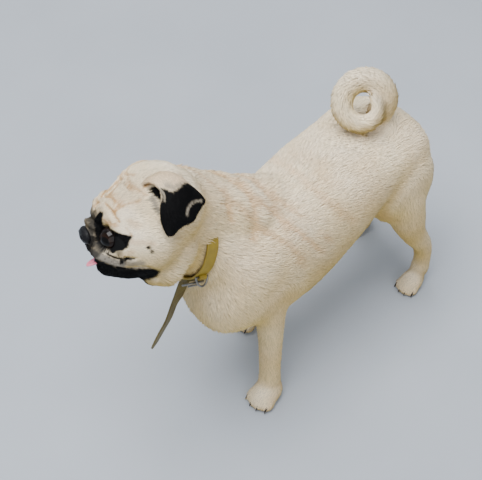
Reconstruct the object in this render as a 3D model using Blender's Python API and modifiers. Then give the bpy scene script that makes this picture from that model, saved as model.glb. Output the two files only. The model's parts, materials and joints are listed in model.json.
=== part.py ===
"""A pug standing still, life size, with its leather collar.

Metres, +Z up. The dog faces -Y, its left side is +X, and its paws stand on Z = 0.
The flesh is blocked out whole from simple forms, fused, then parted by thin cuts.
"""

import math

import bmesh
import bpy
import numpy as np
from mathutils import Matrix, Vector
from mathutils.bvhtree import BVHTree

# What touches keeps this gap
GAP = 0.0003

# Body, from the chest to the rump: place along Y, shift along X, half width, top and bottom
TORSO_SECTIONS = (
    (-0.196, 0.012, 0.024, 0.226, 0.176),
    (-0.186, 0.012, 0.041, 0.248, 0.156),
    (-0.165, 0.012, 0.053, 0.268, 0.140),
    (-0.130, 0.009, 0.060, 0.280, 0.128),
    (-0.095, 0.005, 0.066, 0.284, 0.120),
    (-0.060, 0.002, 0.070, 0.285, 0.119),
    (-0.025, -0.001, 0.072, 0.287, 0.128),
    (0.010, -0.004, 0.073, 0.288, 0.143),
    (0.040, -0.005, 0.072, 0.288, 0.162),
    (0.070, -0.006, 0.070, 0.288, 0.182),
    (0.100, -0.007, 0.070, 0.287, 0.200),
    (0.125, -0.008, 0.069, 0.284, 0.205),
    (0.148, -0.008, 0.062, 0.276, 0.206),
    (0.164, -0.008, 0.050, 0.263, 0.208),
    (0.174, -0.008, 0.032, 0.245, 0.213),
)
TORSO_ROUNDNESS = 2.15

# Neck, from inside the head to inside the chest: point and radius
NECK_PATH = (
    ((-0.024, -0.204, 0.332), 0.046),
    ((-0.025, -0.184, 0.302), 0.046),
    ((-0.021, -0.162, 0.271), 0.047),
    ((-0.004, -0.130, 0.240), 0.055),
    ((0.006, -0.085, 0.212), 0.056),
)

# Nape, from the back of the skull to the withers
NAPE_PATH = (
    ((-0.028, -0.184, 0.342), 0.038),
    ((-0.027, -0.152, 0.307), 0.042),
    ((-0.015, -0.110, 0.271), 0.048),
    ((-0.006, -0.062, 0.245), 0.047),
)

# Head pose: where its middle is, and how it is turned, nodded and tilted, in degrees
HEAD_AT = Vector((-0.0190, -0.2295, 0.3550))
HEAD_TURN = -20.0
HEAD_NOD = 6.5
HEAD_TILT = -26.9

# Forms of the head, as (left, forward, up) and radii from the middle of the head
HEAD_FORMS = (
    ((0.000, -0.0185, 0.0063), (0.0531, 0.0527, 0.0484)),
    ((0.000, 0.0199, 0.0100), (0.0359, 0.0284, 0.0259)),
    ((0.000, 0.0350, -0.0200), (0.0320, 0.0250, 0.0220)),
    ((0.000, 0.0440, -0.0020), (0.0150, 0.0110, 0.0140)),
    ((0.000, 0.0240, -0.0445), (0.0310, 0.0280, 0.0142)),
    ((0.000, -0.0180, -0.0420), (0.0400, 0.0400, 0.0300)),
)
# Forms that the two sides share
HEAD_SIDE_FORMS = (
    ((0.0350, 0.0030, -0.0170), (0.0270, 0.0360, 0.0330)),
    ((0.0255, 0.0250, -0.0004), (0.0190, 0.0160, 0.0170)),
    ((0.0165, 0.0405, -0.0245), (0.0200, 0.0190, 0.0160)),
    ((0.0310, 0.0180, -0.0390), (0.0160, 0.0240, 0.0142)),
    ((0.0180, -0.0120, -0.0530), (0.0260, 0.0260, 0.0235)),
)

EYE_RADIUS = 0.0116
EYE_AT = (0.0250, 0.0345, -0.0035)
EYE_AXIS = (0.62, 0.78, 0.02)
NOSE_AT = (0.0, 0.0580, -0.0070)
NOSE_RADII = (0.0130, 0.0062, 0.0092)

# Legs: point and radius along each, from inside the body to the top of the paw
FRONT_LEG = (
    ((0.034, -0.108, 0.222), 0.020),
    ((0.046, -0.112, 0.180), 0.0235),
    ((0.0510, -0.116, 0.142), 0.0190),
    ((0.0540, -0.120, 0.100), 0.0163),
    ((0.0560, -0.1240, 0.060), 0.0150),
    ((0.0585, -0.1285, 0.020), 0.0146),
)
HIND_LEG = (
    ((0.032, 0.116, 0.232), 0.026),
    ((0.048, 0.112, 0.190), 0.0300),
    ((0.0560, 0.116, 0.152), 0.0258),
    ((0.0610, 0.126, 0.116), 0.0182),
    ((0.0640, 0.145, 0.078), 0.0142),
    ((0.0640, 0.149, 0.052), 0.0130),
    ((0.0630, 0.147, 0.020), 0.0130),
)
THIGH = ((0.040, 0.114, 0.203), (0.034, 0.053, 0.060))
SHOULDER = ((0.038, -0.122, 0.198), (0.032, 0.042, 0.056))

# The column that parts each leg from the body: top along X, shift along Y of the top and of
# the foot, height of the top, and radius
FRONT_COLUMN = (0.078, 0.0, 0.0, 0.175, 0.042)
HIND_COLUMN = (0.070, 0.012, 0.004, 0.190, 0.050)
COLUMN_FOOT = -0.02

# Where each paw stands: middle of the paw, and its turn outwards in degrees
PAWS = {
    "front_left": ((0.0620, -0.1360), 6),
    "front_right": ((-0.044, -0.070), -6),
    "hind_left": ((0.0640, 0.1330), 6),
    "hind_right": ((-0.062, 0.158), -8),
}
PAW_RADII = (0.0185, 0.0235, 0.0150)
PAW_HEIGHT = 0.013
TOE_RADII = (0.0066, 0.0100, 0.0080)
TOE_HEIGHT = 0.0075
TOE_SIDES = (-1.5, -0.5, 0.5, 1.5)
TOE_FAN = 0.25
TOE_SPREAD = 0.0098
# The two middle toes sit this far in front of the paw's middle, the outer two less
TOE_REACH = 0.0190
TOE_STEP = 0.0044
# Hind paws are smaller than front paws by this
HIND_PAW = 0.86
PAW_TOP = 0.036
CLAW_FAN = 0.12
# A claw from its root inside the toe: out in front, height and radius
CLAW = ((0.003, 0.0090, 0.0022), (0.0070, 0.0080, 0.0019), (0.0095, 0.0052, 0.0011))

# Tail: a tight curl of nearly two turns, on a leaning axle
TAIL_MIDDLE = Vector((-0.004, 0.087, 0.322))
TAIL_ROOT = ((0.002, 0.138, 0.262), 0.019)
TAIL_AXLE = Vector((0.74, -0.578, 0.342))
TAIL_TURNS = (-60, 405)
TAIL_REACH = (0.029, 0.0265, 0.0215, 0.0095)
TAIL_THICKNESS = (0.0165, 0.0155, 0.0122, 0.0058)
TAIL_SHIFT = (-0.014, -0.006, 0.010, 0.012)

# Fineness of the fused flesh, and the triangles left to each chunk
FLESH_VOXEL = 0.0028
HEAD_VOXEL = 0.0015
PAW_VOXEL = 0.0014
HEAD_TRIANGLES = 3450
BODY_TRIANGLES = 3400
PAW_TRIANGLES = 300
EAR_TRIANGLES = 400

# Folds of the face: points as (left, forward, up), reach and height, below zero where it sinks
MIDDLE_FOLDS = (
    (((0.0, 0.063, -0.016), (0.0, 0.062, -0.032)), 0.0028, -0.0018),
    (((0.0, 0.050, 0.014), (0.0, 0.046, 0.028), (0.0, 0.034, 0.042)), 0.0045, -0.0022),
    (((-0.015, 0.050, 0.002), (0.0, 0.055, 0.006), (0.015, 0.050, 0.002)), 0.0050, 0.0030),
)
SIDE_FOLDS = (
    (
        ((0.0, 0.0615, -0.032), (0.010, 0.0595, -0.0345), (0.018, 0.053, -0.0380),
         (0.030, 0.039, -0.0392), (0.039, 0.0215, -0.0405), (0.044, 0.0065, -0.0425),
         (0.045, 0.0, -0.0465)),
        0.0034,
        -0.0038,
    ),
    (
        ((0.004, 0.060, -0.037), (0.018, 0.051, -0.0425), (0.030, 0.037, -0.0440),
         (0.038, 0.0215, -0.0455)),
        0.0045,
        0.0012,
    ),
    (
        ((0.011, 0.052, 0.000), (0.015, 0.051, -0.0140), (0.025, 0.046, -0.0210),
         (0.034, 0.038, -0.0260), (0.045, 0.0215, -0.0280)),
        0.0036,
        -0.0032,
    ),
    (((0.009, 0.050, 0.016), (0.014, 0.045, 0.031), (0.011, 0.032, 0.044)), 0.0040, -0.0022),
    (((0.021, 0.046, 0.020), (0.027, 0.038, 0.034)), 0.0045, -0.0018),
    (((0.012, 0.047, 0.012), (0.028, 0.042, 0.014), (0.041, 0.030, 0.006)), 0.0060, 0.0018),
)
SOCKET_REACH = 0.0125
SOCKET_DEPTH = 0.0032
LID_REACH = 0.0035
LID_HEIGHT = 0.0028
TONGUE_AT = (0.002, 0.0570, -0.0350)
TONGUE_RADII = (0.0075, 0.0100, 0.0019)
NOSTRIL_AT = (0.0062, 0.0640, -0.0062)
NOSTRIL_RADII = (0.0021, 0.0050, 0.0018)

# Ear flap from root to hem: place along the head and angle up its side, in degrees, of the
# front edge and of the rear edge, how far it arches up between them, and its stand off the
# head at both edges
EAR_ROWS = (
    (0.0000, 53, -0.0560, 28, 14, -0.0040, -0.0040),
    (-0.0015, 54, -0.0585, 26, 16, 0.0030, 0.0020),
    (-0.0080, 48, -0.0600, 22, 15, 0.0095, 0.0055),
    (-0.0130, 36, -0.0590, 18, 12, 0.0120, 0.0080),
    (-0.0085, 21, -0.0490, 13, 6, 0.0105, 0.0090),
    (-0.0075, 8, -0.0350, 6, 2, 0.0085, 0.0080),
    (-0.0100, -2, -0.0240, -1, -0.5, 0.0068, 0.0068),
    (-0.0120, -5.5, -0.0165, -5.5, 0, 0.0060, 0.0060),
)
# The right ear lies this much lower, in degrees
EAR_LOWER = {1: 0.0, -1: 13.0}
EAR_THICKNESS = 0.0028
EAR_FAR = 0.14
# The rear edge of the flap rolls outwards by this, over this share of its width
EAR_ROLL = 0.0050
EAR_ROLL_SHARE = 0.14
EAR_SWELL = 0.0025

# Collar: a strap round the neck on a leaning plane
COLLAR_AT = Vector((-0.022, -0.1765, 0.268))
COLLAR_NORMAL = Vector((-0.05, -0.885, 0.46))
COLLAR_WIDTH = 0.0165
COLLAR_THICKNESS = 0.0026
COLLAR_SINK = 0.0010
# How much deeper it lies in the folds of the nape
COLLAR_NAPE_SINK = 0.0046

# Round the ring, in steps of its points: where the D-shaped ring and the buckle sit
HOLDER_STEP = 27
BUCKLE_STEP = 30
WIRE = 0.0012
BUCKLE_HALF = (0.0078, 0.0104)
BUCKLE_CORNER = 0.003
BUCKLE_STAND = 0.0040
PIN_HALF = 0.0090
PIN_RADIUS = 0.0011
# The flesh dips clear of the hardware, midway between these two steps: how far out the
# middle of the dip is, and its radii along the strap, across it and outwards
PRESS_STEPS = (28, 29)
PRESS_OUT = 0.0235
PRESS_RADII = (0.041, 0.027, 0.0275)
HOLDER_RADIUS = 0.0085
# The D-shaped ring is longer than round by this, and hangs down with this much weight
HOLDER_LONG = 1.25
HOLDER_HANG = 1.2
KEEPER_RADIUS = 0.0036
KEEPER_HALF = 0.0048
# Free end of the strap, in the collar's plane: across and up from its middle, and half width
STRAP_END = (
    (-0.0200, -0.0640, 0.0076),
    (-0.0185, -0.0784, 0.0074),
    (-0.0183, -0.0982, 0.0072),
    (-0.0151, -0.1192, 0.0068),
    (-0.0121, -0.1404, 0.0048),
    (-0.0105, -0.1500, 0.0015),
)
STRAP_END_THICKNESS = 0.0022
# It twists by this, in degrees, once it hangs free
STRAP_END_TWIST = -22.0

# Where the neck parts from the body, and the round region that the tail takes
NECK_PLANE = (Vector((0.0, -0.126, 0.245)), Vector((0.0, -0.77, 0.64)).normalized())
TAIL_REGION = (Vector((0.000, 0.084, 0.325)), (0.075, 0.075, 0.056))

# Finishes: name, colour, roughness and how metallic
CREAM = ("coat", "D9C7A0", 0.9)
BLACK_COAT = ("black_coat", "1C1A1B", 0.85)
EYE_FINISH = ("eye", "120C0A", 0.12)
NOSE_FINISH = ("nose_leather", "17171A", 0.45)
TONGUE_FINISH = ("tongue_flesh", "E58FA0", 0.4)
LEATHER = ("collar_leather", "8A7A2A", 0.6)
STEEL = ("collar_metal", "8E8E90", 0.3, 1.0)

COLLECTION = "pug"


def clear_scene():
    for obj in list(bpy.data.objects):
        bpy.data.objects.remove(obj, do_unlink=True)
    for name, hidden in ((COLLECTION, False), ("cutters", True)):
        collection = bpy.data.collections.new(name)
        collection.hide_render = hidden
        bpy.context.scene.collection.children.link(collection)


def material(name, hex_colour, roughness, metallic=0.0):
    """A plain material of the sRGB colour given as six hex digits."""
    found = bpy.data.materials.get(name)
    if found:
        return found
    made = bpy.data.materials.new(name)
    made.use_nodes = True
    shader = made.node_tree.nodes["Principled BSDF"]
    channels = [int(hex_colour[i : i + 2], 16) / 255 for i in (0, 2, 4)]
    linear = [c / 12.92 if c < 0.04045 else ((c + 0.055) / 1.055) ** 2.4 for c in channels]
    shader.inputs["Base Color"].default_value = (*linear, 1.0)
    shader.inputs["Roughness"].default_value = roughness
    shader.inputs["Metallic"].default_value = metallic
    return made


def new_object(name, mesh, collection=COLLECTION):
    obj = bpy.data.objects.new(name, mesh)
    bpy.data.collections[collection].objects.link(obj)
    if collection == "cutters":
        obj.hide_render = True
        obj.display_type = "WIRE"
    return obj


def mesh_from(bm, name):
    mesh = bpy.data.meshes.new(name)
    bm.to_mesh(mesh)
    bm.free()
    return mesh


def evaluated_mesh(obj):
    bpy.context.view_layer.update()
    graph = bpy.context.evaluated_depsgraph_get()
    return bpy.data.meshes.new_from_object(obj.evaluated_get(graph))


def apply_modifiers(obj):
    """Gives the object the mesh that its modifiers make."""
    mesh = evaluated_mesh(obj)
    obj.modifiers.clear()
    obj.data = mesh


def drop(obj):
    bpy.data.objects.remove(obj, do_unlink=True)


def ball(centre, radii, turn=Matrix.Identity(4), segments=32):
    """An ellipsoid as a cutter or a form to be fused."""
    bm = bmesh.new()
    bmesh.ops.create_uvsphere(bm, u_segments=segments, v_segments=segments // 2, radius=1.0)
    place = Matrix.Translation(Vector(centre)) @ turn @ Matrix.Diagonal((*radii, 1.0))
    bm.transform(place)
    return new_object("ball", mesh_from(bm, "ball"), "cutters")


def tube(path, sides=5, steps=6):
    """A round tube along (point, radius) pairs, with welded flat caps."""
    curve = bpy.data.curves.new("tube", "CURVE")
    curve.dimensions = "3D"
    curve.bevel_depth = 1.0
    curve.bevel_resolution = sides
    curve.resolution_u = steps
    curve.use_fill_caps = True
    spline = curve.splines.new("BEZIER")
    spline.bezier_points.add(len(path) - 1)
    for knot, (point, radius) in zip(spline.bezier_points, path):
        knot.co = point
        knot.radius = radius
        knot.handle_left_type = "AUTO"
        knot.handle_right_type = "AUTO"
    guide = new_object("tube_guide", curve, "cutters")
    mesh = evaluated_mesh(guide)
    drop(guide)
    bm = bmesh.new()
    bm.from_mesh(mesh)
    bmesh.ops.remove_doubles(bm, verts=bm.verts, dist=0.00002)
    return new_object("tube", mesh_from(bm, "tube"), "cutters")


def loft(rings, closed=False, name="loft", collection="cutters"):
    """A skin over rings of points, capped at both ends, or joined round to the start."""
    bm = bmesh.new()
    rows = [[bm.verts.new(point) for point in ring] for ring in rings]
    pairs = list(zip(rows, rows[1:] + rows[:1] if closed else rows[1:]))
    count = len(rows[0])
    for row, following in pairs:
        for i in range(count):
            j = (i + 1) % count
            bm.faces.new((row[i], row[j], following[j], following[i]))
    if not closed:
        bm.faces.new(reversed(rows[0]))
        bm.faces.new(rows[-1])
    bmesh.ops.recalc_face_normals(bm, faces=bm.faces)
    return new_object(name, mesh_from(bm, name), collection)


def smooth_rows(rows, steps):
    """Rows on a smooth curve through the given rows of numbers (Catmull-Rom)."""
    rows = np.array(rows, float)
    padded = np.vstack([2 * rows[0] - rows[1], rows, 2 * rows[-1] - rows[-2]])
    made = []
    for i in range(len(rows) - 1):
        a, b, c, d = padded[i : i + 4]
        for t in np.arange(steps) / steps:
            bend = 2 * a - 5 * b + 4 * c - d
            twist = 3 * b - a - 3 * c + d
            made.append(b + 0.5 * t * (c - a + t * (bend + t * twist)))
    return np.vstack([made, rows[-1:]])


def torso_form():
    rings = []
    angles = np.linspace(0, 2 * math.pi, 40, endpoint=False)
    for y, shift, half_width, top, bottom in smooth_rows(TORSO_SECTIONS, 4):
        side = np.sign(np.cos(angles)) * np.abs(np.cos(angles)) ** (2 / TORSO_ROUNDNESS)
        rise = np.sign(np.sin(angles)) * np.abs(np.sin(angles)) ** (2 / TORSO_ROUNDNESS)
        middle = (top + bottom) / 2
        xs = shift + half_width * side
        zs = middle + (top - bottom) / 2 * rise
        rings.append([(x, y, z) for x, z in zip(xs, zs)])
    return loft(rings)


def head_matrix():
    turn = Matrix.Rotation(math.radians(HEAD_TURN), 4, "Z")
    nod = Matrix.Rotation(math.radians(-HEAD_NOD), 4, "X")
    tilt = Matrix.Rotation(math.radians(HEAD_TILT), 4, "Y")
    return Matrix.Translation(HEAD_AT) @ turn @ nod @ tilt


HEAD = head_matrix()
HEAD_ROTATION = HEAD.to_3x3().to_4x4()


def on_head(left, forward, up):
    """World place of a point given as left, forward and up from the head's middle."""
    return HEAD @ Vector((left, -forward, up))


def head_direction(left, forward, up):
    return (HEAD_ROTATION @ Vector((left, -forward, up))).normalized()


def head_forms():
    forms = []
    for place, radii in HEAD_FORMS:
        forms.append(ball(on_head(*place), radii, HEAD_ROTATION))
    for (left, forward, up), radii in HEAD_SIDE_FORMS:
        for side in (1, -1):
            forms.append(ball(on_head(side * left, forward, up), radii, HEAD_ROTATION))
    return forms


def mirrored(path):
    return [((-x, y, z), radius) for (x, y, z), radius in path]


def leg_path(path, leg):
    """The leg's path with its foot moved over to where its paw stands."""
    (paw_x, paw_y), _ = PAWS[leg]
    (left_x, left_y), _ = PAWS[leg.split("_")[0] + "_left"]
    if leg.endswith("right"):
        path = mirrored(path)
        left_x = -left_x
    top = path[0][0][2]
    shifted = []
    for (x, y, z), radius in path:
        share = 1 - z / top
        shifted.append(((x + share * (paw_x - left_x), y + share * (paw_y - left_y), z), radius))
    return shifted


def toe_reach(side):
    """How far in front of the paw's middle a toe sits, less for the outer two."""
    return TOE_REACH - TOE_STEP * (abs(side) - 0.5)


def paw_frame(leg):
    """Where a paw stands, how it is turned, and its size."""
    (x, y), turn = PAWS[leg]
    size = HIND_PAW if leg.startswith("hind") else 1.0
    turned = Matrix.Rotation(math.radians(turn), 4, "Z")
    return Matrix.Translation((x, y, 0)) @ turned @ Matrix.Scale(size, 4), turned, size


def paw_forms(leg):
    base, turned, size = paw_frame(leg)
    forms = [ball(base @ Vector((0, 0, PAW_HEIGHT)), [size * r for r in PAW_RADII], turned)]
    for side in TOE_SIDES:
        toe = base @ Vector((side * TOE_SPREAD, -toe_reach(side), TOE_HEIGHT))
        fan = turned @ Matrix.Rotation(-TOE_FAN * side, 4, "Z")
        forms.append(ball(toe, [size * r for r in TOE_RADII], fan))
    return forms


def claw_forms(leg):
    """Four claws that leave the toes and bend down, clear of the floor."""
    base, _, size = paw_frame(leg)
    claws = []
    for side in TOE_SIDES:
        path = []
        for out, height, radius in CLAW:
            across = side * (TOE_SPREAD + CLAW_FAN * out)
            place = base @ Vector((across, -toe_reach(side) - out, height))
            path.append((place, size * radius))
        claws.append(tube(path, sides=1, steps=3))
    return claws


def tail_path():
    axle = TAIL_AXLE.normalized()
    back = (Vector((0, 1, 0)) - axle * axle.y).normalized()
    up = back.cross(axle)
    if up.z < 0:
        up = -up
    rows = list(zip(TAIL_REACH, TAIL_THICKNESS, TAIL_SHIFT))
    path = []
    rows = smooth_rows(rows, 8)
    for share, (reach, thick, shift) in zip(np.linspace(0, 1, len(rows)), rows):
        angle = math.radians(TAIL_TURNS[0] + share * (TAIL_TURNS[1] - TAIL_TURNS[0]))
        point = TAIL_MIDDLE + back * reach * math.cos(angle) + up * reach * math.sin(angle)
        path.append((point + axle * shift, thick))
    return [TAIL_ROOT] + path


def fuse(pieces, name, voxel, smoothing):
    """One closed skin round all the pieces."""
    bm = bmesh.new()
    for piece in pieces:
        bm.from_mesh(piece.data)
        drop(piece)
    obj = new_object(name, mesh_from(bm, name), "cutters")
    remesh = obj.modifiers.new("fuse", "REMESH")
    remesh.mode = "VOXEL"
    remesh.voxel_size = voxel
    if smoothing:
        smooth = obj.modifiers.new("soften", "SMOOTH")
        smooth.factor = 0.5
        smooth.iterations = smoothing
    apply_modifiers(obj)
    return obj


def flesh():
    pieces = [torso_form(), tube(NECK_PATH), tube(NAPE_PATH), tube(tail_path())]
    pieces += head_forms()
    for leg in PAWS:
        side = 1 if leg.endswith("left") else -1
        path = FRONT_LEG if leg.startswith("front") else HIND_LEG
        pieces.append(tube(leg_path(path, leg)))
        pieces += paw_forms(leg)
        (x, y, z), radii = SHOULDER if leg.startswith("front") else THIGH
        pieces.append(ball((side * x, y, z), radii))
    return fuse(pieces, "flesh", FLESH_VOXEL, 8)


def triangulated(bm):
    bmesh.ops.triangulate(bm, faces=bm.faces, quad_method="BEAUTY", ngon_method="BEAUTY")


def largest_body(bm):
    """Leaves only the body with the most faces."""
    left = set(bm.faces)
    best = set()
    while left:
        stack = [left.pop()]
        body = set(stack)
        while stack:
            for edge in stack.pop().edges:
                for face in edge.link_faces:
                    if face in left:
                        left.discard(face)
                        body.add(face)
                        stack.append(face)
        if len(body) > len(best):
            best = body
    rest = [face for face in bm.faces if face not in best]
    bmesh.ops.delete(bm, geom=rest, context="FACES")


def side_of(mesh, point, normal, name, margin=0.0):
    """The part of a closed mesh on the side of a plane that its normal points to."""
    normal = Vector(normal).normalized()
    bm = bmesh.new()
    bm.from_mesh(mesh)
    everything = bm.verts[:] + bm.edges[:] + bm.faces[:]
    cut = bmesh.ops.bisect_plane(
        bm,
        geom=everything,
        dist=1e-6,
        plane_co=Vector(point) - normal * margin,
        plane_no=normal,
        clear_inner=True,
    )
    rim = [item for item in cut["geom_cut"] if isinstance(item, bmesh.types.BMEdge)]
    bmesh.ops.holes_fill(bm, edges=rim, sides=0)
    triangulated(bm)
    return new_object(name, mesh_from(bm, name), "cutters")


def thin_out(obj, triangles):
    """Collapses edges until about this many triangles are left."""
    obj.data.calc_loop_triangles()
    thin = obj.modifiers.new("thin", "DECIMATE")
    thin.ratio = triangles / len(obj.data.loop_triangles)
    thin.use_collapse_triangulate = True
    apply_modifiers(obj)


def boolean(obj, others, operation):
    """Cuts or joins the object with others, which are used up, and keeps its largest body."""
    for other in others:
        step = obj.modifiers.new("cut", "BOOLEAN")
        step.operation = operation
        step.object = other
        step.solver = "EXACT"
        apply_modifiers(obj)
        drop(other)
    bm = bmesh.new()
    bm.from_mesh(obj.data)
    triangulated(bm)
    largest_body(bm)
    obj.data = mesh_from(bm, obj.name)


def copy_of(obj, collection="cutters"):
    return new_object(obj.name + "_copy", obj.data.copy(), collection)


def node(obj, name, finish):
    """Makes a finished piece a node of the pug."""
    for collection in list(obj.users_collection):
        collection.objects.unlink(obj)
    bpy.data.collections[COLLECTION].objects.link(obj)
    obj.hide_render = False
    obj.display_type = "TEXTURED"
    obj.name = name
    obj.data.name = name
    obj.data.materials.clear()
    obj.data.materials.append(material(*finish))
    return obj


def points_of(mesh):
    points = np.empty(len(mesh.vertices) * 3, np.float32)
    mesh.vertices.foreach_get("co", points)
    return points.reshape(-1, 3).astype(float)


def normals_of(mesh):
    normals = np.empty(len(mesh.vertices) * 3, np.float32)
    mesh.vertex_normals.foreach_get("vector", normals)
    return normals.reshape(-1, 3).astype(float)


def set_points(mesh, points):
    mesh.vertices.foreach_set("co", np.asarray(points, np.float32).ravel())
    mesh.update()


def reach_to_path(points, path):
    """Distance of each point from a path of straight pieces."""
    nearest = np.full(len(points), np.inf)
    path = np.array(path, float)
    for start, end in zip(path, path[1:]):
        along = end - start
        share = np.clip((points - start) @ along / (along @ along), 0, 1)
        nearest = np.minimum(nearest, np.linalg.norm(points - start - share[:, None] * along, axis=1))
    return nearest


def surface_tree(mesh):
    return BVHTree.FromPolygons([v.co for v in mesh.vertices], [p.vertices for p in mesh.polygons])


def fold(mesh, path, reach, height):
    """Raises or sinks the surface along a path that is first laid on it."""
    tree = surface_tree(mesh)
    steps = smooth_rows([tuple(on_head(*point)) for point in path], 4)
    laid = [tree.find_nearest(Vector(point))[0] for point in steps]
    points = points_of(mesh)
    share = np.clip(reach_to_path(points, laid) / reach, 0, 1)
    lift = height * (1 - share**2) ** 2
    set_points(mesh, points + normals_of(mesh) * lift[:, None])


def on_side(side, place):
    left, forward, up = place
    return (side * left, forward, up)


def eye_place(side):
    return on_head(*on_side(side, EYE_AT))


def sink_socket(mesh, side):
    """Hollows the flesh round an eye and raises the lids along the rim of the hollow."""
    axis = np.array(head_direction(*on_side(side, EYE_AXIS)))
    points = points_of(mesh)
    away = points - np.array(eye_place(side))
    along = away @ axis
    across = np.linalg.norm(away - along[:, None] * axis, axis=1)
    ahead = np.clip(along / EYE_RADIUS, 0, 1)
    hollow = np.clip(1 - (across / SOCKET_REACH) ** 4, 0, 1) * SOCKET_DEPTH
    rim = np.clip(1 - ((across - EYE_RADIUS) / LID_REACH) ** 2, 0, 1) * LID_HEIGHT
    set_points(mesh, points + (ahead * (rim - hollow))[:, None] * axis)


def head_node(skin):
    """The head: folds, lids, lips and nostrils are worked in before it is thinned out."""
    plane = (on_head(0.0, -0.026, 0.0), head_direction(0.0, 0.93, 0.37))
    head = side_of(skin.data, *plane, "head", margin=0.004)
    finer = head.modifiers.new("finer", "REMESH")
    finer.mode = "VOXEL"
    finer.voxel_size = HEAD_VOXEL
    soften = head.modifiers.new("soften", "SMOOTH")
    soften.iterations = 3
    apply_modifiers(head)
    for path, reach, height in MIDDLE_FOLDS:
        fold(head.data, path, reach, height)
    for side in (1, -1):
        for path, reach, height in SIDE_FOLDS:
            fold(head.data, [on_side(side, place) for place in path], reach, height)
        sink_socket(head.data, side)
    thin_out(head, HEAD_TRIANGLES)
    cut_point = plane[0] + plane[1] * GAP / 2
    parted = side_of(head.data, cut_point, plane[1], "head_cut")
    drop(head)
    hollows = []
    for side in (1, -1):
        hollows.append(ball(eye_place(side), [EYE_RADIUS + GAP] * 3, segments=18))
    hollows.append(nose_form(GAP))
    hollows.append(tongue_form(GAP))
    boolean(parted, hollows, "DIFFERENCE")
    return parted, plane


def nose_form(grow):
    radii = [radius + grow for radius in NOSE_RADII]
    return ball(on_head(*NOSE_AT), radii, HEAD_ROTATION, segments=16)


def tongue_form(grow):
    radii = [radius + grow for radius in TONGUE_RADII]
    tip_down = HEAD_ROTATION @ Matrix.Rotation(math.radians(12), 4, "X")
    return ball(on_head(*TONGUE_AT), radii, tip_down, segments=12)


def ear_form(tree, side):
    """A flap that rises from the head, folds over and hangs, with its cup open to the front."""
    rows = []
    for front, front_angle, rear, rear_angle, arch, front_stand, rear_stand in smooth_rows(EAR_ROWS, 3):
        row = []
        for across in np.linspace(0, 1, 13):
            forward = front + (rear - front) * across
            angle = front_angle + (rear_angle - front_angle) * across
            angle += arch * math.sin(math.pi * across) - EAR_LOWER[side]
            stand = front_stand + (rear_stand - front_stand) * across
            stand += EAR_SWELL * math.sin(math.pi * across)
            rolled = math.exp(-(((1 - across) / EAR_ROLL_SHARE) ** 2))
            stand += EAR_ROLL * rolled * np.clip(arch / EAR_ROWS[3][4], 0, 1)
            angle = math.radians(angle)
            out = head_direction(side * math.cos(angle), 0, math.sin(angle))
            middle = on_head(0, forward, 0)
            hit = tree.ray_cast(middle + out * EAR_FAR, -out)[0]
            row.append(hit + out * stand)
        rows.append(row)
    bm = bmesh.new()
    grid = [[bm.verts.new(point) for point in row] for row in rows]
    for upper, lower in zip(grid, grid[1:]):
        for i in range(len(upper) - 1):
            corners = (upper[i], upper[i + 1], lower[i + 1], lower[i])
            bm.faces.new(corners if side > 0 else corners[::-1])
    ear = new_object("ear", mesh_from(bm, "ear"), "cutters")
    thick = ear.modifiers.new("thick", "SOLIDIFY")
    thick.thickness = EAR_THICKNESS
    thick.offset = 0.0
    return ear


def swelled(obj):
    """A copy grown by the gap on every side, to cut with."""
    cutter = copy_of(obj)
    swell = cutter.modifiers.new("swell", "DISPLACE")
    swell.strength = GAP
    swell.mid_level = 0.0
    apply_modifiers(cutter)
    return cutter


def ear_node(tree, flesh_nodes, side):
    ear = ear_form(tree, side)
    remesh = ear.modifiers.new("round", "REMESH")
    remesh.mode = "VOXEL"
    remesh.voxel_size = 0.0009
    soften = ear.modifiers.new("soften", "SMOOTH")
    soften.iterations = 4
    apply_modifiers(ear)
    thin_out(ear, EAR_TRIANGLES)
    boolean(ear, [swelled(obj) for obj in flesh_nodes], "DIFFERENCE")
    return ear


def leg_region(leg, grow):
    """A round-topped column that holds a whole leg, up to the shoulder or the hip."""
    front = leg.startswith("front")
    path = leg_path(FRONT_LEG if front else HIND_LEG, leg)
    side = 1 if leg.endswith("left") else -1
    (foot_x, foot_y), _ = PAWS[leg]
    out, top_shift, foot_shift, height, radius = FRONT_COLUMN if front else HIND_COLUMN
    radius += grow
    top = Vector((side * out, path[1][0][1] + top_shift, height))
    low = Vector((foot_x, foot_y + foot_shift, COLUMN_FOOT))
    column = tube([(low, radius), ((low + top) / 2, radius), (top, radius)], 3, 1)
    dome = ball(top, [radius] * 3, segments=16)
    boolean(column, [dome], "UNION")
    return column


def paws(skin):
    """Each paw, with its claws, standing on a small flat."""
    below = side_of(skin.data, (0, 0, PAW_TOP), (0, 0, -1), "paws", margin=0.004)
    finer = below.modifiers.new("finer", "REMESH")
    finer.mode = "VOXEL"
    finer.voxel_size = PAW_VOXEL
    soften = below.modifiers.new("soften", "SMOOTH")
    soften.iterations = 2
    apply_modifiers(below)
    thin_out(below, PAW_TRIANGLES * 4)
    flat = side_of(below.data, (0, 0, 0), (0, 0, 1), "flat")
    cut = side_of(flat.data, (0, 0, PAW_TOP - GAP / 2), (0, 0, -1), "paws_cut")
    drop(below)
    drop(flat)
    for leg, ((x, y), _) in PAWS.items():
        bm = bmesh.new()
        bm.from_mesh(cut.data)
        far = [f for f in bm.faces if (f.calc_center_median().xy - Vector((x, y))).length > 0.045]
        bmesh.ops.delete(bm, geom=far, context="FACES")
        largest_body(bm)
        paw = new_object(leg, mesh_from(bm, leg), "cutters")
        boolean(paw, claw_forms(leg), "UNION")
        node(paw, leg.split("_")[0] + "_paw_" + leg.split("_")[1], CREAM)
    drop(cut)


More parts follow.
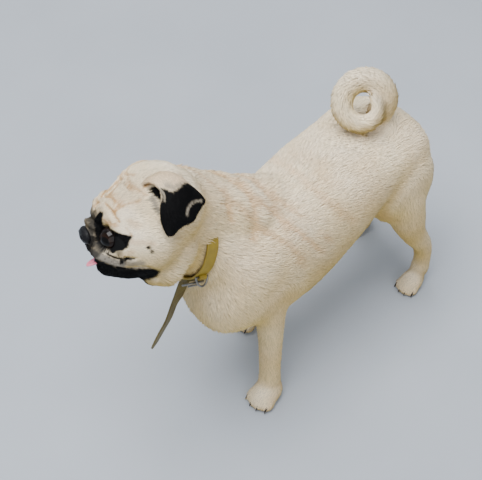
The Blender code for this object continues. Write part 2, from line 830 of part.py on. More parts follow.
def collar_ring(tree, points=48):
    """Places round the neck on the collar's plane, with the way out at each."""
    normal = COLLAR_NORMAL.normalized()
    across = normal.cross(Vector((0, 0, 1))).normalized()
    rise = across.cross(normal).normalized()
    if rise.z < 0:
        rise = -rise
    reaches = []
    outs = []
    for angle in np.linspace(0, 2 * math.pi, points, endpoint=False):
        out = across * math.cos(angle) + rise * math.sin(angle)
        hit = tree.ray_cast(COLLAR_AT + out * 0.2, -out)[0]
        reaches.append((hit - COLLAR_AT).length)
        outs.append(out)
    half = math.cos(2 * math.pi / points)
    for _ in range(60):
        for i in range(points):
            before = reaches[i - 1]
            after = reaches[(i + 1) % points]
            reaches[i] = max(reaches[i], 2 * before * after * half / (before + after))
    return [(COLLAR_AT + out * reach, out) for out, reach in zip(outs, reaches)], normal


def strap_form(ring, normal, grow):
    """The strap as a flat band round the ring, swelled by grow on every face."""
    half = COLLAR_WIDTH / 2 + grow
    rings = []
    for place, out in ring:
        inner = place - out * (COLLAR_SINK + COLLAR_NAPE_SINK * max(out.z, 0) + grow)
        outer = inner + out * (COLLAR_THICKNESS + 2 * grow)
        edge = [(inner, -half), (outer, -half), (outer, half), (inner, half)]
        rings.append([point + normal * step for point, step in edge])
    return loft(rings, closed=True)


def torso_and_limbs(skin, head_plane):
    body = side_of(skin.data, head_plane[0], -head_plane[1], "body", margin=0.004)
    upper = side_of(body.data, (0, 0, PAW_TOP), (0, 0, 1), "upper", margin=0.004)
    drop(body)
    thin_out(upper, BODY_TRIANGLES)
    cut = side_of(upper.data, head_plane[0] - head_plane[1] * GAP / 2, -head_plane[1], "cut")
    drop(upper)
    body = side_of(cut.data, (0, 0, PAW_TOP + GAP / 2), (0, 0, 1), "body")
    drop(cut)
    for leg in PAWS:
        limb = copy_of(body)
        boolean(limb, [leg_region(leg, 0.0)], "INTERSECT")
        boolean(body, [leg_region(leg, GAP)], "DIFFERENCE")
        node(limb, leg.split("_")[0] + "_leg_" + leg.split("_")[1], CREAM)
    tail = copy_of(body)
    boolean(tail, [ball(TAIL_REGION[0], TAIL_REGION[1], segments=24)], "INTERSECT")
    boolean(body, [ball(TAIL_REGION[0], [r + GAP for r in TAIL_REGION[1]], segments=24)], "DIFFERENCE")
    node(tail, "tail", CREAM)
    neck = side_of(body.data, NECK_PLANE[0] + NECK_PLANE[1] * GAP / 2, NECK_PLANE[1], "neck")
    torso = side_of(body.data, NECK_PLANE[0] - NECK_PLANE[1] * GAP / 2, -NECK_PLANE[1], "torso")
    drop(body)
    node(torso, "torso", CREAM)
    return neck


def wire(points, name):
    """A closed loop of round wire through the points."""
    curve = bpy.data.curves.new(name, "CURVE")
    curve.dimensions = "3D"
    curve.bevel_depth = WIRE
    curve.bevel_resolution = 2
    spline = curve.splines.new("POLY")
    spline.points.add(len(points) - 1)
    for knot, point in zip(spline.points, points):
        knot.co = (*point, 1.0)
    spline.use_cyclic_u = True
    guide = new_object(name, curve, "cutters")
    mesh = evaluated_mesh(guide)
    drop(guide)
    return new_object(name, mesh, "cutters")


def buckle_points(middle, along, across):
    """A rectangle with rounded corners, as a loop of points."""
    half_along, half_across = BUCKLE_HALF
    corner = BUCKLE_CORNER
    points = []
    for quarter, (a, b) in enumerate(((1, 1), (-1, 1), (-1, -1), (1, -1))):
        for turn in (0, 30, 60, 90):
            angle = math.radians(90 * quarter + turn)
            u = a * (half_along - corner) + corner * math.cos(angle)
            v = b * (half_across - corner) + corner * math.sin(angle)
            points.append(middle + along * u + across * v)
    return points


def holder_points(middle, out, along, across):
    """A letter D: its straight bar on the strap, its bow hanging away from it."""
    away = (out + Vector((0, 0, -HOLDER_HANG))).normalized()
    away = (away - across * away.dot(across)).normalized()
    points = [middle - across * HOLDER_RADIUS * t for t in (-1.0, -0.5, 0.0, 0.5, 1.0)]
    for turn in range(15, 180, 15):
        angle = math.radians(180 - turn)
        bow = across * math.cos(angle) + away * math.sin(angle) * HOLDER_LONG
        points.append(middle + bow * HOLDER_RADIUS)
    return points


def press_form(ring, normal):
    """A wide round form over the hardware, that keeps the flesh clear of it."""
    (before, out), (after, _) = (ring[step] for step in PRESS_STEPS)
    place = (before + after) / 2
    along = normal.cross(out).normalized()
    turn = Matrix((along, normal, along.cross(normal))).transposed().to_4x4()
    return ball(place + out * PRESS_OUT, PRESS_RADII, turn)


def strap_end_form(ring, normal):
    """The free end: it runs on along the strap from the buckle, then hangs."""
    across = normal.cross(Vector((0, 0, 1))).normalized()
    rise = across.cross(normal)
    if rise.z < 0:
        rise = -rise
    path = []
    off = COLLAR_THICKNESS - COLLAR_SINK + GAP + STRAP_END_THICKNESS / 2
    for step in (0, 1, 2):
        place, out = ring[BUCKLE_STEP + step]
        path.append((place + out * off, STRAP_END[0][2]))
    for a, b, half in STRAP_END:
        path.append((COLLAR_AT + across * a + rise * b, half))
    rows = smooth_rows([(*point, half) for point, half in path], 4)
    rings = []
    for i, row in enumerate(rows):
        before = Vector(rows[max(i - 1, 0)][:3])
        after = Vector(rows[min(i + 1, len(rows) - 1)][:3])
        along = (after - before).normalized()
        hanging = min(max(i / len(rows) - 0.25, 0) * 4, 1)
        twist = Matrix.Rotation(math.radians(STRAP_END_TWIST) * hanging, 3, along)
        side = along.cross(twist @ normal).normalized() * STRAP_END_THICKNESS / 2
        edge = side.cross(along).normalized() * row[3]
        point = Vector(row[:3])
        flat = ((side, -edge), (side, edge), (-side, edge), (-side, -edge))
        rings.append([point + a + b for a, b in flat])
    return loft(rings)


def collar(tree, neck):
    ring, normal = collar_ring(tree)
    strap = strap_form(ring, normal, 0.0)
    outside = COLLAR_THICKNESS - COLLAR_SINK
    place, out = ring[BUCKLE_STEP]
    along_buckle = normal.cross(out)
    middle = place + out * (outside + BUCKLE_STAND + WIRE)
    buckle = wire(buckle_points(middle, along_buckle, normal), "buckle")
    pin_at = middle + out * (2 * WIRE + GAP)
    reach = along_buckle * PIN_HALF
    pin = tube([(pin_at - reach, PIN_RADIUS), (pin_at + reach, PIN_RADIUS * 0.8)], 1, 1)
    place, out = ring[HOLDER_STEP]
    along = normal.cross(out)
    bar = place + out * (outside + WIRE + GAP)
    holder = wire(holder_points(bar, out, along, normal), "holder")
    ends = [bar - normal * KEEPER_HALF, bar + normal * KEEPER_HALF]
    keeper = tube([(end, KEEPER_RADIUS) for end in ends], 4, 1)
    ends = [bar - normal * 2 * KEEPER_HALF, bar + normal * 2 * KEEPER_HALF]
    hollow = tube([(end, WIRE + GAP) for end in ends], 3, 1)
    boolean(keeper, [hollow, strap_form(ring, normal, GAP)], "DIFFERENCE")
    end = strap_end_form(ring, normal)
    boolean(end, [strap_form(ring, normal, GAP)], "DIFFERENCE")
    pressed = [strap_form(ring, normal, GAP), press_form(ring, normal), swelled(end)]
    boolean(neck, pressed, "DIFFERENCE")
    node(end, "collar_end", LEATHER)
    node(keeper, "collar_keeper", LEATHER)
    node(buckle, "collar_buckle", STEEL)
    node(pin, "collar_pin", STEEL)
    node(holder, "collar_ring", STEEL)
    node(strap, "collar_strap", LEATHER)


def build():
    clear_scene()
    skin = flesh()
    head, head_plane = head_node(skin)
    for side, word in ((1, "left"), (-1, "right")):
        eye = ball(eye_place(side), [EYE_RADIUS] * 3, segments=18)
        node(eye, "eye_" + word, EYE_FINISH)
    nose = nose_form(0.0)
    nostrils = [
        ball(on_head(*on_side(side, NOSTRIL_AT)), NOSTRIL_RADII, HEAD_ROTATION, 10)
        for side in (1, -1)
    ]
    boolean(nose, nostrils, "DIFFERENCE")
    node(nose, "nose", NOSE_FINISH)
    node(tongue_form(0.0), "tongue", TONGUE_FINISH)
    node(head, "head", CREAM)
    paws(skin)
    neck = torso_and_limbs(skin, head_plane)
    tree = surface_tree(skin.data)
    for side, word in ((1, "left"), (-1, "right")):
        node(ear_node(tree, (head, neck), side), "ear_" + word, BLACK_COAT)
    collar(tree, neck)
    node(neck, "neck", CREAM)
    drop(skin)


def recentre():
    """Sets the middle of the whole box on the origin, with the paws on the floor."""
    meshes = [obj.data for obj in bpy.data.collections[COLLECTION].objects]
    corners = np.vstack([points_of(mesh) for mesh in meshes])
    low, high = corners.min(0), corners.max(0)
    move = Vector((-(low[0] + high[0]) / 2, -(low[1] + high[1]) / 2, -low[2]))
    for mesh in meshes:
        mesh.transform(Matrix.Translation(move))
    return move


build()
shift = recentre()
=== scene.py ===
"""Looks of a standing pug: one skin with its folds, a short coat, eyes, nose and a collar.

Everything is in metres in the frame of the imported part: the dog faces -Y, its left is +X.
"""

import json
import math

import bmesh
import bpy
import numpy as np
from mathutils import Matrix, Vector, noise
from mathutils.bvhtree import BVHTree

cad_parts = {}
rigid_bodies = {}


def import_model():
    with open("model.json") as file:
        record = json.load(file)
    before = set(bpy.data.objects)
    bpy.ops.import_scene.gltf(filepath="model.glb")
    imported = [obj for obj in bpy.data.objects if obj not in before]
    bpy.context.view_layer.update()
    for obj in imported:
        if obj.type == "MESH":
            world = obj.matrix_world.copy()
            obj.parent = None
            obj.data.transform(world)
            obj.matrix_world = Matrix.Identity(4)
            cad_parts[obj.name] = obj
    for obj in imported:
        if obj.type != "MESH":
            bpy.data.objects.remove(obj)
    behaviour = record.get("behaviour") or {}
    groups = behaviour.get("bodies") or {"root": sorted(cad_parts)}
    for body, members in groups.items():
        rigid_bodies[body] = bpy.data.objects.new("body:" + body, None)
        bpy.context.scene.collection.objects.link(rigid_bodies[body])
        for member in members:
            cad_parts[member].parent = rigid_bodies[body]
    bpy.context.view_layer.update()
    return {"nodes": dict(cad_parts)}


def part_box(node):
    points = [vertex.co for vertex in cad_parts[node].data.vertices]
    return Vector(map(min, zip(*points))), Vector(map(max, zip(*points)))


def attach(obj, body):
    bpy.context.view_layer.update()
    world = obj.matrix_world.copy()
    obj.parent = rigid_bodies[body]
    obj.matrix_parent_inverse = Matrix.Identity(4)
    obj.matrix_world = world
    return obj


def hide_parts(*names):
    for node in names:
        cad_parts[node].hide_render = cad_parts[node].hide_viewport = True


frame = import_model()
nodes = frame["nodes"]

# Camera of the photograph: place, the three directions of its frame, and focal length in
# pixels of a 482 x 480 picture
CAMERA_AT = Vector((0.61644, -0.53547, 1.14975))
CAMERA_TURN = math.radians(52.0)
CAMERA_DROP = math.radians(49.2757)
CAMERA_ROLL = math.radians(-4.1247)
PICTURE = (482, 480)
FOCAL = 1036.25

# Pose of the head: the middle of the head, and its turn, nod and tilt in degrees
HEAD_AT = Vector((-0.02045, -0.16971, 0.3550))
HEAD_POSE = (-20.0, -6.5, -26.9)

FLESH = ["head", "neck", "torso", "tail"]
FLESH += [end + "_leg_" + side for end in ("front", "hind") for side in ("left", "right")]
FLESH += [end + "_paw_" + side for end in ("front", "hind") for side in ("left", "right")]

# Fineness of the skin, then how deep the coat is over it, its length, width and rise in mm,
# and how many tufts grow on each square centimetre
SKIN_VOXEL = 0.0031
EAR_VOXEL = 0.0009
COAT = {
    "torso": (3.4, 10.0, 0.85, 2.6, 42),
    "neck": (3.6, 11.0, 0.85, 2.9, 44),
    "tail": (3.8, 10.5, 0.90, 3.3, 50),
    "leg": (2.2, 7.0, 0.75, 1.8, 50),
    "paw": (1.3, 3.8, 0.60, 1.1, 80),
    "head": (1.9, 5.5, 0.60, 1.5, 80),
    "face": (0.8, 2.5, 0.40, 0.65, 130),
}
# The velvet of the ears: length, width and rise in mm, and tufts on each square centimetre
EAR_COAT = (2.8, 0.42, 0.45)
EAR_DENSITY = 110.0
# Tufts in one piece at most, and the seeds of the random draws
COAT_PIECE_LIMIT = 24500
COAT_SEED = 11
EAR_SEED = 20

EYE_RADIUS = 0.0116
# The nose and the bed it sits on: from the head's middle in mm, and radii
NOSE_AT = (0, 58.0, -7.0)
NOSE_RADII = (0.0130, 0.0066, 0.0092)
NOSE_BED_AT = (0, 53.5, -6.5)
NOSE_BED_RADII = (0.0148, 0.0068, 0.0112)
# How far round the nose no coat grows, in mm
NOSE_BARE = (14.0, 8, 10.5)
LID = 0.0011


def linear(hex_colour):
    """Linear RGBA of six sRGB hex digits."""
    channels = [int(hex_colour[i : i + 2], 16) / 255 for i in (0, 2, 4)]
    return (*[c / 12.92 if c < 0.04045 else ((c + 0.055) / 1.055) ** 2.4 for c in channels], 1.0)


def deselect():
    for obj in bpy.context.view_layer.objects:
        obj.select_set(False)


def only(obj):
    deselect()
    obj.select_set(True)
    bpy.context.view_layer.objects.active = obj


def new_piece(name, mesh):
    obj = bpy.data.objects.new(name, mesh)
    bpy.context.scene.collection.objects.link(obj)
    return obj


def apply_all(obj):
    only(obj)
    for modifier in list(obj.modifiers):
        bpy.ops.object.modifier_apply(modifier=modifier.name)


def drop(obj):
    bpy.data.objects.remove(obj, do_unlink=True)


# Camera


def camera_axes():
    """Right, up and forward of the camera."""
    turn, fall, roll = CAMERA_TURN, CAMERA_DROP, CAMERA_ROLL
    ahead = Vector(
        (-math.sin(turn) * math.cos(fall), math.cos(turn) * math.cos(fall), -math.sin(fall))
    )
    level = Vector((math.cos(turn), math.sin(turn), 0))
    rise = level.cross(ahead)
    right = level * math.cos(roll) + rise * math.sin(roll)
    up = rise * math.cos(roll) - level * math.sin(roll)
    return right, up, ahead


RIGHT, UP, AHEAD = camera_axes()


def add_camera():
    data = bpy.data.cameras.new("camera")
    data.sensor_width = 36.0
    data.lens = FOCAL / PICTURE[0] * data.sensor_width
    data.clip_start = 0.05
    camera = bpy.data.objects.new("camera", data)
    turned = Matrix((RIGHT, UP, -AHEAD)).transposed().to_4x4()
    camera.matrix_world = Matrix.Translation(CAMERA_AT) @ turned
    bpy.context.scene.collection.objects.link(camera)
    bpy.context.scene.camera = camera


def sight_line(x, y):
    """Direction from the camera through a point of the picture."""
    across = (x - PICTURE[0] / 2) / FOCAL
    down = (y - PICTURE[1] / 2) / FOCAL
    return (AHEAD + RIGHT * across - UP * down).normalized()


# Head's own directions


def head_matrix():
    turn, nod, tilt = (math.radians(a) for a in HEAD_POSE)
    turned = Matrix.Rotation(turn, 4, "Z") @ Matrix.Rotation(nod, 4, "X")
    return Matrix.Translation(HEAD_AT) @ turned @ Matrix.Rotation(tilt, 4, "Y")


HEAD = head_matrix()
HEAD_BACK = HEAD.inverted()


def on_head(left, forward, up):
    """Place of a point given as left, forward and up from the head's middle, in mm."""
    return HEAD @ Vector((left / 1000, -forward / 1000, up / 1000))


def head_direction(left, forward, up):
    return (HEAD.to_3x3() @ Vector((left, -forward, up))).normalized()


def in_head(points):
    """Left, forward and up in mm of many points."""
    turned = points @ np.array(HEAD_BACK.to_3x3()).T + np.array(HEAD_BACK.translation)
    return turned * np.array((1000, -1000, 1000))


# Meshes as arrays


def points_of(mesh):
    points = np.empty(len(mesh.vertices) * 3, np.float32)
    mesh.vertices.foreach_get("co", points)
    return points.reshape(-1, 3).astype(float)


def normals_of(mesh):
    normals = np.empty(len(mesh.vertices) * 3, np.float32)
    mesh.vertex_normals.foreach_get("vector", normals)
    return normals.reshape(-1, 3).astype(float)


def set_points(mesh, points):
    mesh.vertices.foreach_set("co", np.asarray(points, np.float32).ravel())
    mesh.update()


def edges_of(mesh):
    edges = np.empty(len(mesh.edges) * 2, np.int32)
    mesh.edges.foreach_get("vertices", edges)
    return edges.reshape(-1, 2)


def triangles_of(mesh):
    mesh.calc_loop_triangles()
    corners = np.empty(len(mesh.loop_triangles) * 3, np.int32)
    mesh.loop_triangles.foreach_get("vertices", corners)
    return corners.reshape(-1, 3)


def tree_of(mesh):
    return BVHTree.FromPolygons([v.co for v in mesh.vertices], [p.vertices for p in mesh.polygons])


def relax(values, edges, rounds, weight=1.0):
    """Pulls each row of values towards the mean of its neighbours along the edges."""
    count = len(values)
    values = np.array(values, float)
    flat = values.ndim == 1
    if flat:
        values = values[:, None]
    ends = np.concatenate([edges[:, 0], edges[:, 1]])
    others = np.concatenate([edges[:, 1], edges[:, 0]])
    degree = np.maximum(np.bincount(ends, minlength=count), 1)
    share = 0.5 * np.broadcast_to(weight, (count,))
    for _ in range(rounds):
        for i in range(values.shape[1]):
            mean = np.bincount(ends, values[others, i], count) / degree
            values[:, i] += share * (mean - values[:, i])
    return values[:, 0] if flat else values


def unit(vectors):
    return vectors / np.maximum(np.linalg.norm(vectors, axis=-1, keepdims=True), 1e-9)


def smooth_step(x):
    x = np.clip(x, 0, 1)
    return x * x * (3 - 2 * x)


def wobble(points, size, seed):
    """Smooth noise from -1 to 1 at many points, with waves of about this size."""
    shift = Vector((seed * 7.3, seed * 3.1, seed * 5.7))
    return np.array([noise.noise(Vector(p) / size + shift) for p in points])


def smooth_path(rows, steps=5):
    """Points on a smooth curve through the given ones (Catmull-Rom)."""
    rows = np.array(rows, float)
    if len(rows) < 2:
        return rows
    padded = np.vstack([2 * rows[0] - rows[1], rows, 2 * rows[-1] - rows[-2]])
    made = []
    for i in range(len(rows) - 1):
        a, b, c, d = padded[i : i + 4]
        for t in np.arange(steps) / steps:
            bend = 2 * a - 5 * b + 4 * c - d
            twist = 3 * b - a - 3 * c + d
            made.append(b + 0.5 * t * (c - a + t * (bend + t * twist)))
    return np.vstack([made, rows[-1:]])


def reach_to_path(points, path):
    """Distance of each point from a path, and how far along the path it is nearest."""
    if len(path) == 1:
        return np.linalg.norm(points - path[0], axis=1), np.zeros(len(points))
    nearest = np.full(len(points), np.inf)
    place = np.zeros(len(points))
    for i, (start, end) in enumerate(zip(path, path[1:])):
        along = end - start
        share = np.clip((points - start) @ along / max(along @ along, 1e-12), 0, 1)
        away = np.linalg.norm(points - start - share[:, None] * along, axis=1)
        closer = away < nearest
        nearest[closer] = away[closer]
        place[closer] = (i + share[closer]) / (len(path) - 1)
    return nearest, place


# Collar. The strap's route is read from its solid, in the ring's own plane
COLLAR_AT = Vector((-0.02345, -0.11671, 0.268))
COLLAR_NORMAL = Vector((-0.05, -0.885, 0.46)).normalized()
COLLAR_STEPS = 180
STRAP_WIDTH = 0.0165
STRAP_THICKNESS = 0.0026
# Point of the photograph where the strap comes out of the nape's fur, and how far it
# sinks under it beyond that
STRAP_EMERGES = (225, 226)
STRAP_SINK = 0.0058


def collar_axes():
    """Side and top directions of the ring's plane."""
    top = (Vector((0, 0, 1)) - COLLAR_NORMAL * COLLAR_NORMAL.z).normalized()
    side = top.cross(COLLAR_NORMAL).normalized()
    if side.x < 0:
        side = -side
    return np.array(side), np.array(top), np.array(COLLAR_NORMAL)


def in_collar(points):
    """Angle round the ring from its top towards the dog's left, radius, and way ahead."""
    side, top, ahead = collar_axes()
    away = points - np.array(COLLAR_AT)
    return np.arctan2(away @ side, away @ top), np.hypot(away @ side, away @ top), away @ ahead


class StrapRoute:
    """Radius, way ahead and lean of the strap's middle at each angle, evenly stepped."""

    def __init__(self):
        mesh = nodes["collar_strap"].data
        points = points_of(mesh)
        angle, radius, ahead = in_collar(points)
        self.angles = np.linspace(-math.pi, math.pi, COLLAR_STEPS, endpoint=False)
        rows = []
        for step in self.angles:
            gap = np.abs((angle - step + math.pi) % (2 * math.pi) - math.pi)
            near = gap < max(0.10, np.sort(gap)[7] + 0.001)
            low, high = ahead[near].min(), ahead[near].max()
            front = radius[near & (ahead > (low + high) / 2)].mean()
            back = radius[near & (ahead <= (low + high) / 2)].mean()
            rows.append(((front + back) / 2, (low + high) / 2, (front - back) / STRAP_WIDTH))
        rows = np.array(rows)
        ring = np.stack([np.arange(COLLAR_STEPS), np.roll(np.arange(COLLAR_STEPS), -1)], 1)
        rows = relax(rows, ring, 14)
        hit = tree_of(mesh).ray_cast(CAMERA_AT, sight_line(*STRAP_EMERGES))[0]
        out = in_collar(np.array(hit)[None])[0][0] if hit else math.radians(60)
        self.out = abs(out)
        self.hidden = smooth_step((self.out + 0.05 - np.abs(self.angles)) / 0.55)
        rows[:, 0] -= STRAP_SINK * self.hidden
        self.rows = rows

    def at(self, angles):
        """Radius, way ahead, lean and hidden share at any angles."""
        values = np.column_stack([self.rows, self.hidden])
        period = 2 * math.pi
        return np.stack([np.interp(angles, self.angles, v, period=period) for v in values.T], 1)


def build_strap(route, material):
    """The strap as one band with rounded edges, sunk into the fur at the nape."""
    side, top, ahead = collar_axes()
    half, thick = STRAP_WIDTH / 2, STRAP_THICKNESS / 2
    profile = []
    for corner, start in (((1, 1), 0), ((-1, 1), 90), ((-1, -1), 180), ((1, -1), 270)):
        for turn in (0, 30, 60, 90):
            angle = math.radians(start + turn)
            along = corner[0] * (half - thick * 0.8) + thick * 0.8 * math.cos(angle)
            over = corner[1] * (thick * 0.2) + thick * 0.8 * math.sin(angle)
            profile.append((along, over))
    profile = np.array(profile)
    rows = route.rows
    around = np.cos(route.angles)[:, None] * top + np.sin(route.angles)[:, None] * side
    middle = np.array(COLLAR_AT) + around * rows[:, :1] + ahead * rows[:, 1:2]
    width = unit(ahead + around * rows[:, 2:3])
    over = unit(around - width * (around * width).sum(1)[:, None])
    points = middle[:, None] + width[:, None] * profile[None, :, :1]
    points = points + over[:, None] * profile[None, :, 1:]
    count, corners = points.shape[:2]
    bm = bmesh.new()
    verts = [[bm.verts.new(p) for p in ring] for ring in points]
    for i in range(count):
        first, second = verts[i], verts[(i + 1) % count]
        for j in range(corners):
            k = (j + 1) % corners
            bm.faces.new((first[j], first[k], second[k], second[j]))
    bmesh.ops.recalc_face_normals(bm, faces=bm.faces)
    mesh = bpy.data.meshes.new("strap")
    bm.to_mesh(mesh)
    bm.free()
    return finish_piece(new_piece("strap", mesh), material, "collar_leather", "collar_strap")


def seat_strap(points, route):
    """Keeps the skin under the strap where it shows, and over it where it is hidden."""
    angle, radius, ahead = in_collar(points)
    rows = route.at(angle)
    off = ahead - rows[:, 1]
    near = 1 - smooth_step((np.abs(off) - STRAP_WIDTH / 2 - 0.0002) / 0.0035)
    near[radius > 0.1] = 0
    under = rows[:, 0] + off * rows[:, 2] - STRAP_THICKNESS / 2 - 0.0005
    target = np.minimum(radius, under)
    moved = (target - radius) * near * (1 - smooth_step(rows[:, 3] * 3))
    side, top, _ = collar_axes()
    out = np.cos(angle)[:, None] * top + np.sin(angle)[:, None] * side
    return points + out * moved[:, None]


# Skin


def merged_flesh(name, names, swell):
    """The flesh nodes as one mesh, each swelled a little so that they run into each other."""
    whole = bmesh.new()
    for node in names:
        part = bmesh.new()
        part.from_mesh(nodes[node].data)
        bmesh.ops.remove_doubles(part, verts=part.verts, dist=0.00001)
        part.normal_update()
        moves = [(v, v.normal * swell) for v in part.verts]
        for v, move in moves:
            v.co += move
        mesh = bpy.data.meshes.new(node)
        part.to_mesh(mesh)
        part.free()
        whole.from_mesh(mesh)
        bpy.data.meshes.remove(mesh)
    mesh = bpy.data.meshes.new(name)
    whole.to_mesh(mesh)
    whole.free()
    return new_piece(name, mesh)


def keep_largest(mesh):
    """Leaves only the largest closed surface of a mesh."""
    count = len(mesh.vertices)
    edges = edges_of(mesh)
    label = np.arange(count)
    while True:
        low = np.minimum(label[edges[:, 0]], label[edges[:, 1]])
        before = label.copy()
        np.minimum.at(label, edges[:, 0], low)
        np.minimum.at(label, edges[:, 1], low)
        label = label[label]
        if (label == before).all():
            break
    sizes = np.bincount(label, minlength=count)
    best = sizes.argmax()
    bm = bmesh.new()
    bm.from_mesh(mesh)
    bm.verts.ensure_lookup_table()
    gone = [bm.verts[i] for i in np.nonzero(label != best)[0]]
    bmesh.ops.delete(bm, geom=gone, context="VERTS")
    bm.to_mesh(mesh)
    bm.free()


def add_mound(obj, centre, turn, radii):
    """Adds a round mass to the flesh, such as the bed of the nose."""
    bm = bmesh.new()
    bm.from_mesh(obj.data)
    place = Matrix.Translation(centre) @ turn @ Matrix.Diagonal((*radii, 1.0))
    bmesh.ops.create_icosphere(bm, subdivisions=4, radius=1.0, matrix=place)
    bm.to_mesh(obj.data)
    bm.free()


def voxel_skin(obj, size):
    only(obj)
    remesh = obj.modifiers.new("fuse", "REMESH")
    remesh.mode = "VOXEL"
    remesh.voxel_size = size
    apply_all(obj)
    keep_largest(obj.data)


def owner_of(points):
    """Which flesh node each point is nearest to."""
    corners, faces, owner = [], [], []
    for index, node in enumerate(FLESH):
        mesh = nodes[node].data
        base = len(corners)
        corners += [v.co for v in mesh.vertices]
        for polygon in mesh.polygons:
            faces.append([base + i for i in polygon.vertices])
            owner.append(index)
    tree = BVHTree.FromPolygons(corners, faces)
    return np.array([owner[tree.find_nearest(Vector(p))[2]] for p in points])


def coat_kind(owner, points):
    """The row of the coat's sizes that each point takes."""
    kinds = np.array(["torso"] * len(points), dtype="<U8")
    for index, node in enumerate(FLESH):
        word = node.split("_")[1] if "_" in node else node
        kinds[owner == index] = word
    local = in_head(points)
    face = (kinds == "head") & (local[:, 1] > 12 + 0.35 * local[:, 2])
    kinds[face] = "face"
    return kinds


def finer_where(mesh, chosen):
    """Splits the faces whose corners are all chosen."""
    bm = bmesh.new()
    bm.from_mesh(mesh)
    faces = [f for f in bm.faces if all(chosen[v.index] for v in f.verts)]
    edges = list({e for f in faces for e in f.edges})
    bmesh.ops.subdivide_edges(bm, edges=edges, cuts=1, use_grid_fill=True)
    bm.to_mesh(mesh)
    bm.free()


# Folds and markings are drawn as lines and shapes in the photograph's plane. Each takes the
# skin that faces the camera, and its mirror takes the side that isn't seen


def in_picture(points):
    """Place of each point in the photograph."""
    away = points - np.array(CAMERA_AT)
    deep = away @ np.array(AHEAD)
    x = PICTURE[0] / 2 + FOCAL * (away @ np.array(RIGHT)) / deep
    y = PICTURE[1] / 2 - FOCAL * (away @ np.array(UP)) / deep
    return np.stack([x, y], 1)


def inside_shape(places, shape):
    """Whether each place of the picture is within a closed shape."""
    inside = np.zeros(len(places), bool)
    for (ax, ay), (bx, by) in zip(shape, np.roll(shape, -1, axis=0)):
        crosses = (ay > places[:, 1]) != (by > places[:, 1])
        level = ax + (places[:, 1] - ay) / (by - ay + 1e-9) * (bx - ax)
        inside ^= crosses & (places[:, 0] < level)
    return inside


class Views:
    """The skin as the photograph shows it, and its mirrors in the head and in the body."""

    def __init__(self, points, normals, head=None):
        self.head = np.ones(len(points), bool) if head is None else head
        flipped = np.array((-1, 1, 1))
        turn = np.array(HEAD.to_3x3())
        middle = np.array(HEAD.translation)
        self.views = {}
        for word, whose in (("left", self.head), ("body", ~self.head)):
            self.views[word] = self.view(points, normals, whose)
        local = (points - middle) @ turn * flipped
        turned = normals @ turn * flipped @ turn.T
        self.views["right"] = self.view(local @ turn.T + middle, turned, self.head)
        across = points * flipped + np.array((2 * BODY_MIDDLE, 0, 0))
        self.views["body_right"] = self.view(across, normals * flipped, ~self.head)

    def view(self, points, normals, whose):
        toward = unit(np.array(CAMERA_AT) - points)
        facing = smooth_step(((normals * toward).sum(1) + 0.50) / 0.25)
        return in_picture(points), facing * whose

    def of(self, body):
        return [self.views[word] for word in (("body", "body_right") if body else ("left", "right"))]

    def line(self, places, body=False):
        """Distance in pixels from a smooth line, way along it, and how much is in view."""
        path = smooth_path(places)
        made = []
        for at, facing in self.of(body):
            away, along = reach_to_path(at, path)
            made.append((away, along, facing))
        return made

    def shape(self, places, body=False):
        """Distance in pixels outside (or, negative, inside) a closed smooth shape."""
        shape = smooth_path([*places, places[0]])
        made = []
        for at, facing in self.of(body):
            away, _ = reach_to_path(at, shape)
            made.append((np.where(inside_shape(at, shape[:-1]), -away, away), facing))
        return made


# The body's middle plane lies a little to its right
BODY_MIDDLE = -0.004


def head_tree(mesh, head):
    """The head's part of the skin, to lay paths on."""
    faces = [p.vertices for p in mesh.polygons if all(head[i] for i in p.vertices)]
    return BVHTree.FromPolygons([v.co for v in mesh.vertices], faces)


def path_on(tree, places):
    """A smooth path over places given as left, forward and up from the head's middle, in mm."""
    return smooth_path([tree.find_nearest(on_head(*place))[0] for place in places])


# Creases and ridges of the face: points of the photograph, reach in its pixels, height in mm
FACE_FOLDS = (
    # dark fold from beside the nose, under the eye and back along the muzzle
    (
        ((93, 238), (96.4, 241.4), (101.8, 249.5), (109, 254.8), (116, 257.5), (125, 258), (136, 258.4)),
        1.3, -2.6,
    ),
    (((93, 243), (98, 250), (106, 257.5), (116, 261.5), (128, 262), (138, 262)), 2.6, 1.2),
    # bags under the eye
    (((96, 238), (101, 248), (110.7, 251.5), (121, 251.5), (128, 247)), 1.2, -1.4),
    (((99, 243), (105, 248), (113, 249.5), (121, 248)), 1.3, 0.8),
    (((116, 240), (122, 241), (129, 239)), 1.2, -0.8),
    # line of the mouth, and the lips
    (((88, 254), (96, 259), (106, 264.2), (118, 267.3), (132, 268.2), (146, 267.6), (155, 270)), 1.1, -2.6),
    (((93, 254), (104, 260), (117, 264), (132, 265)), 2.2, 0.9),
    (((96, 265), (106, 270.5), (118, 273), (134, 273), (148, 271.5)), 3.2, 1.3),
    # forehead
    (((101, 197.7), (106.3, 189.6), (112.5, 183.4), (118, 178)), 1.2, -1.6),
    (((105.4, 193.2), (112.5, 188), (121.4, 180.7)), 1.1, -1.2),
    (((113.4, 177.6), (121.4, 176.3), (132, 176.7)), 1.2, -0.9),
    (((105.4, 204.4), (110.7, 210.2), (115.2, 217.3), (118.8, 221.8)), 1.5, -1.6),
    (((99, 206), (104, 210), (109, 217), (113, 223)), 2.6, 1.1),
    (((94.5, 206), (99, 203), (103.5, 202)), 1.1, -1.0),
    (((93, 217), (96, 211), (101, 208)), 1.8, 1.2),
    # cheek and behind it, and the jowl
    (((185, 229), (188.5, 234), (190, 246), (188.8, 256), (185.7, 264.6), (181.3, 274)), 2.8, -3.6),
    (((179, 236), (182, 248), (179, 262), (174, 274)), 4.5, 1.3),
    (((150, 276), (158, 279), (163, 284)), 2.0, -1.2),
    (((160, 281), (166, 283)), 6.5, 3.2),
)
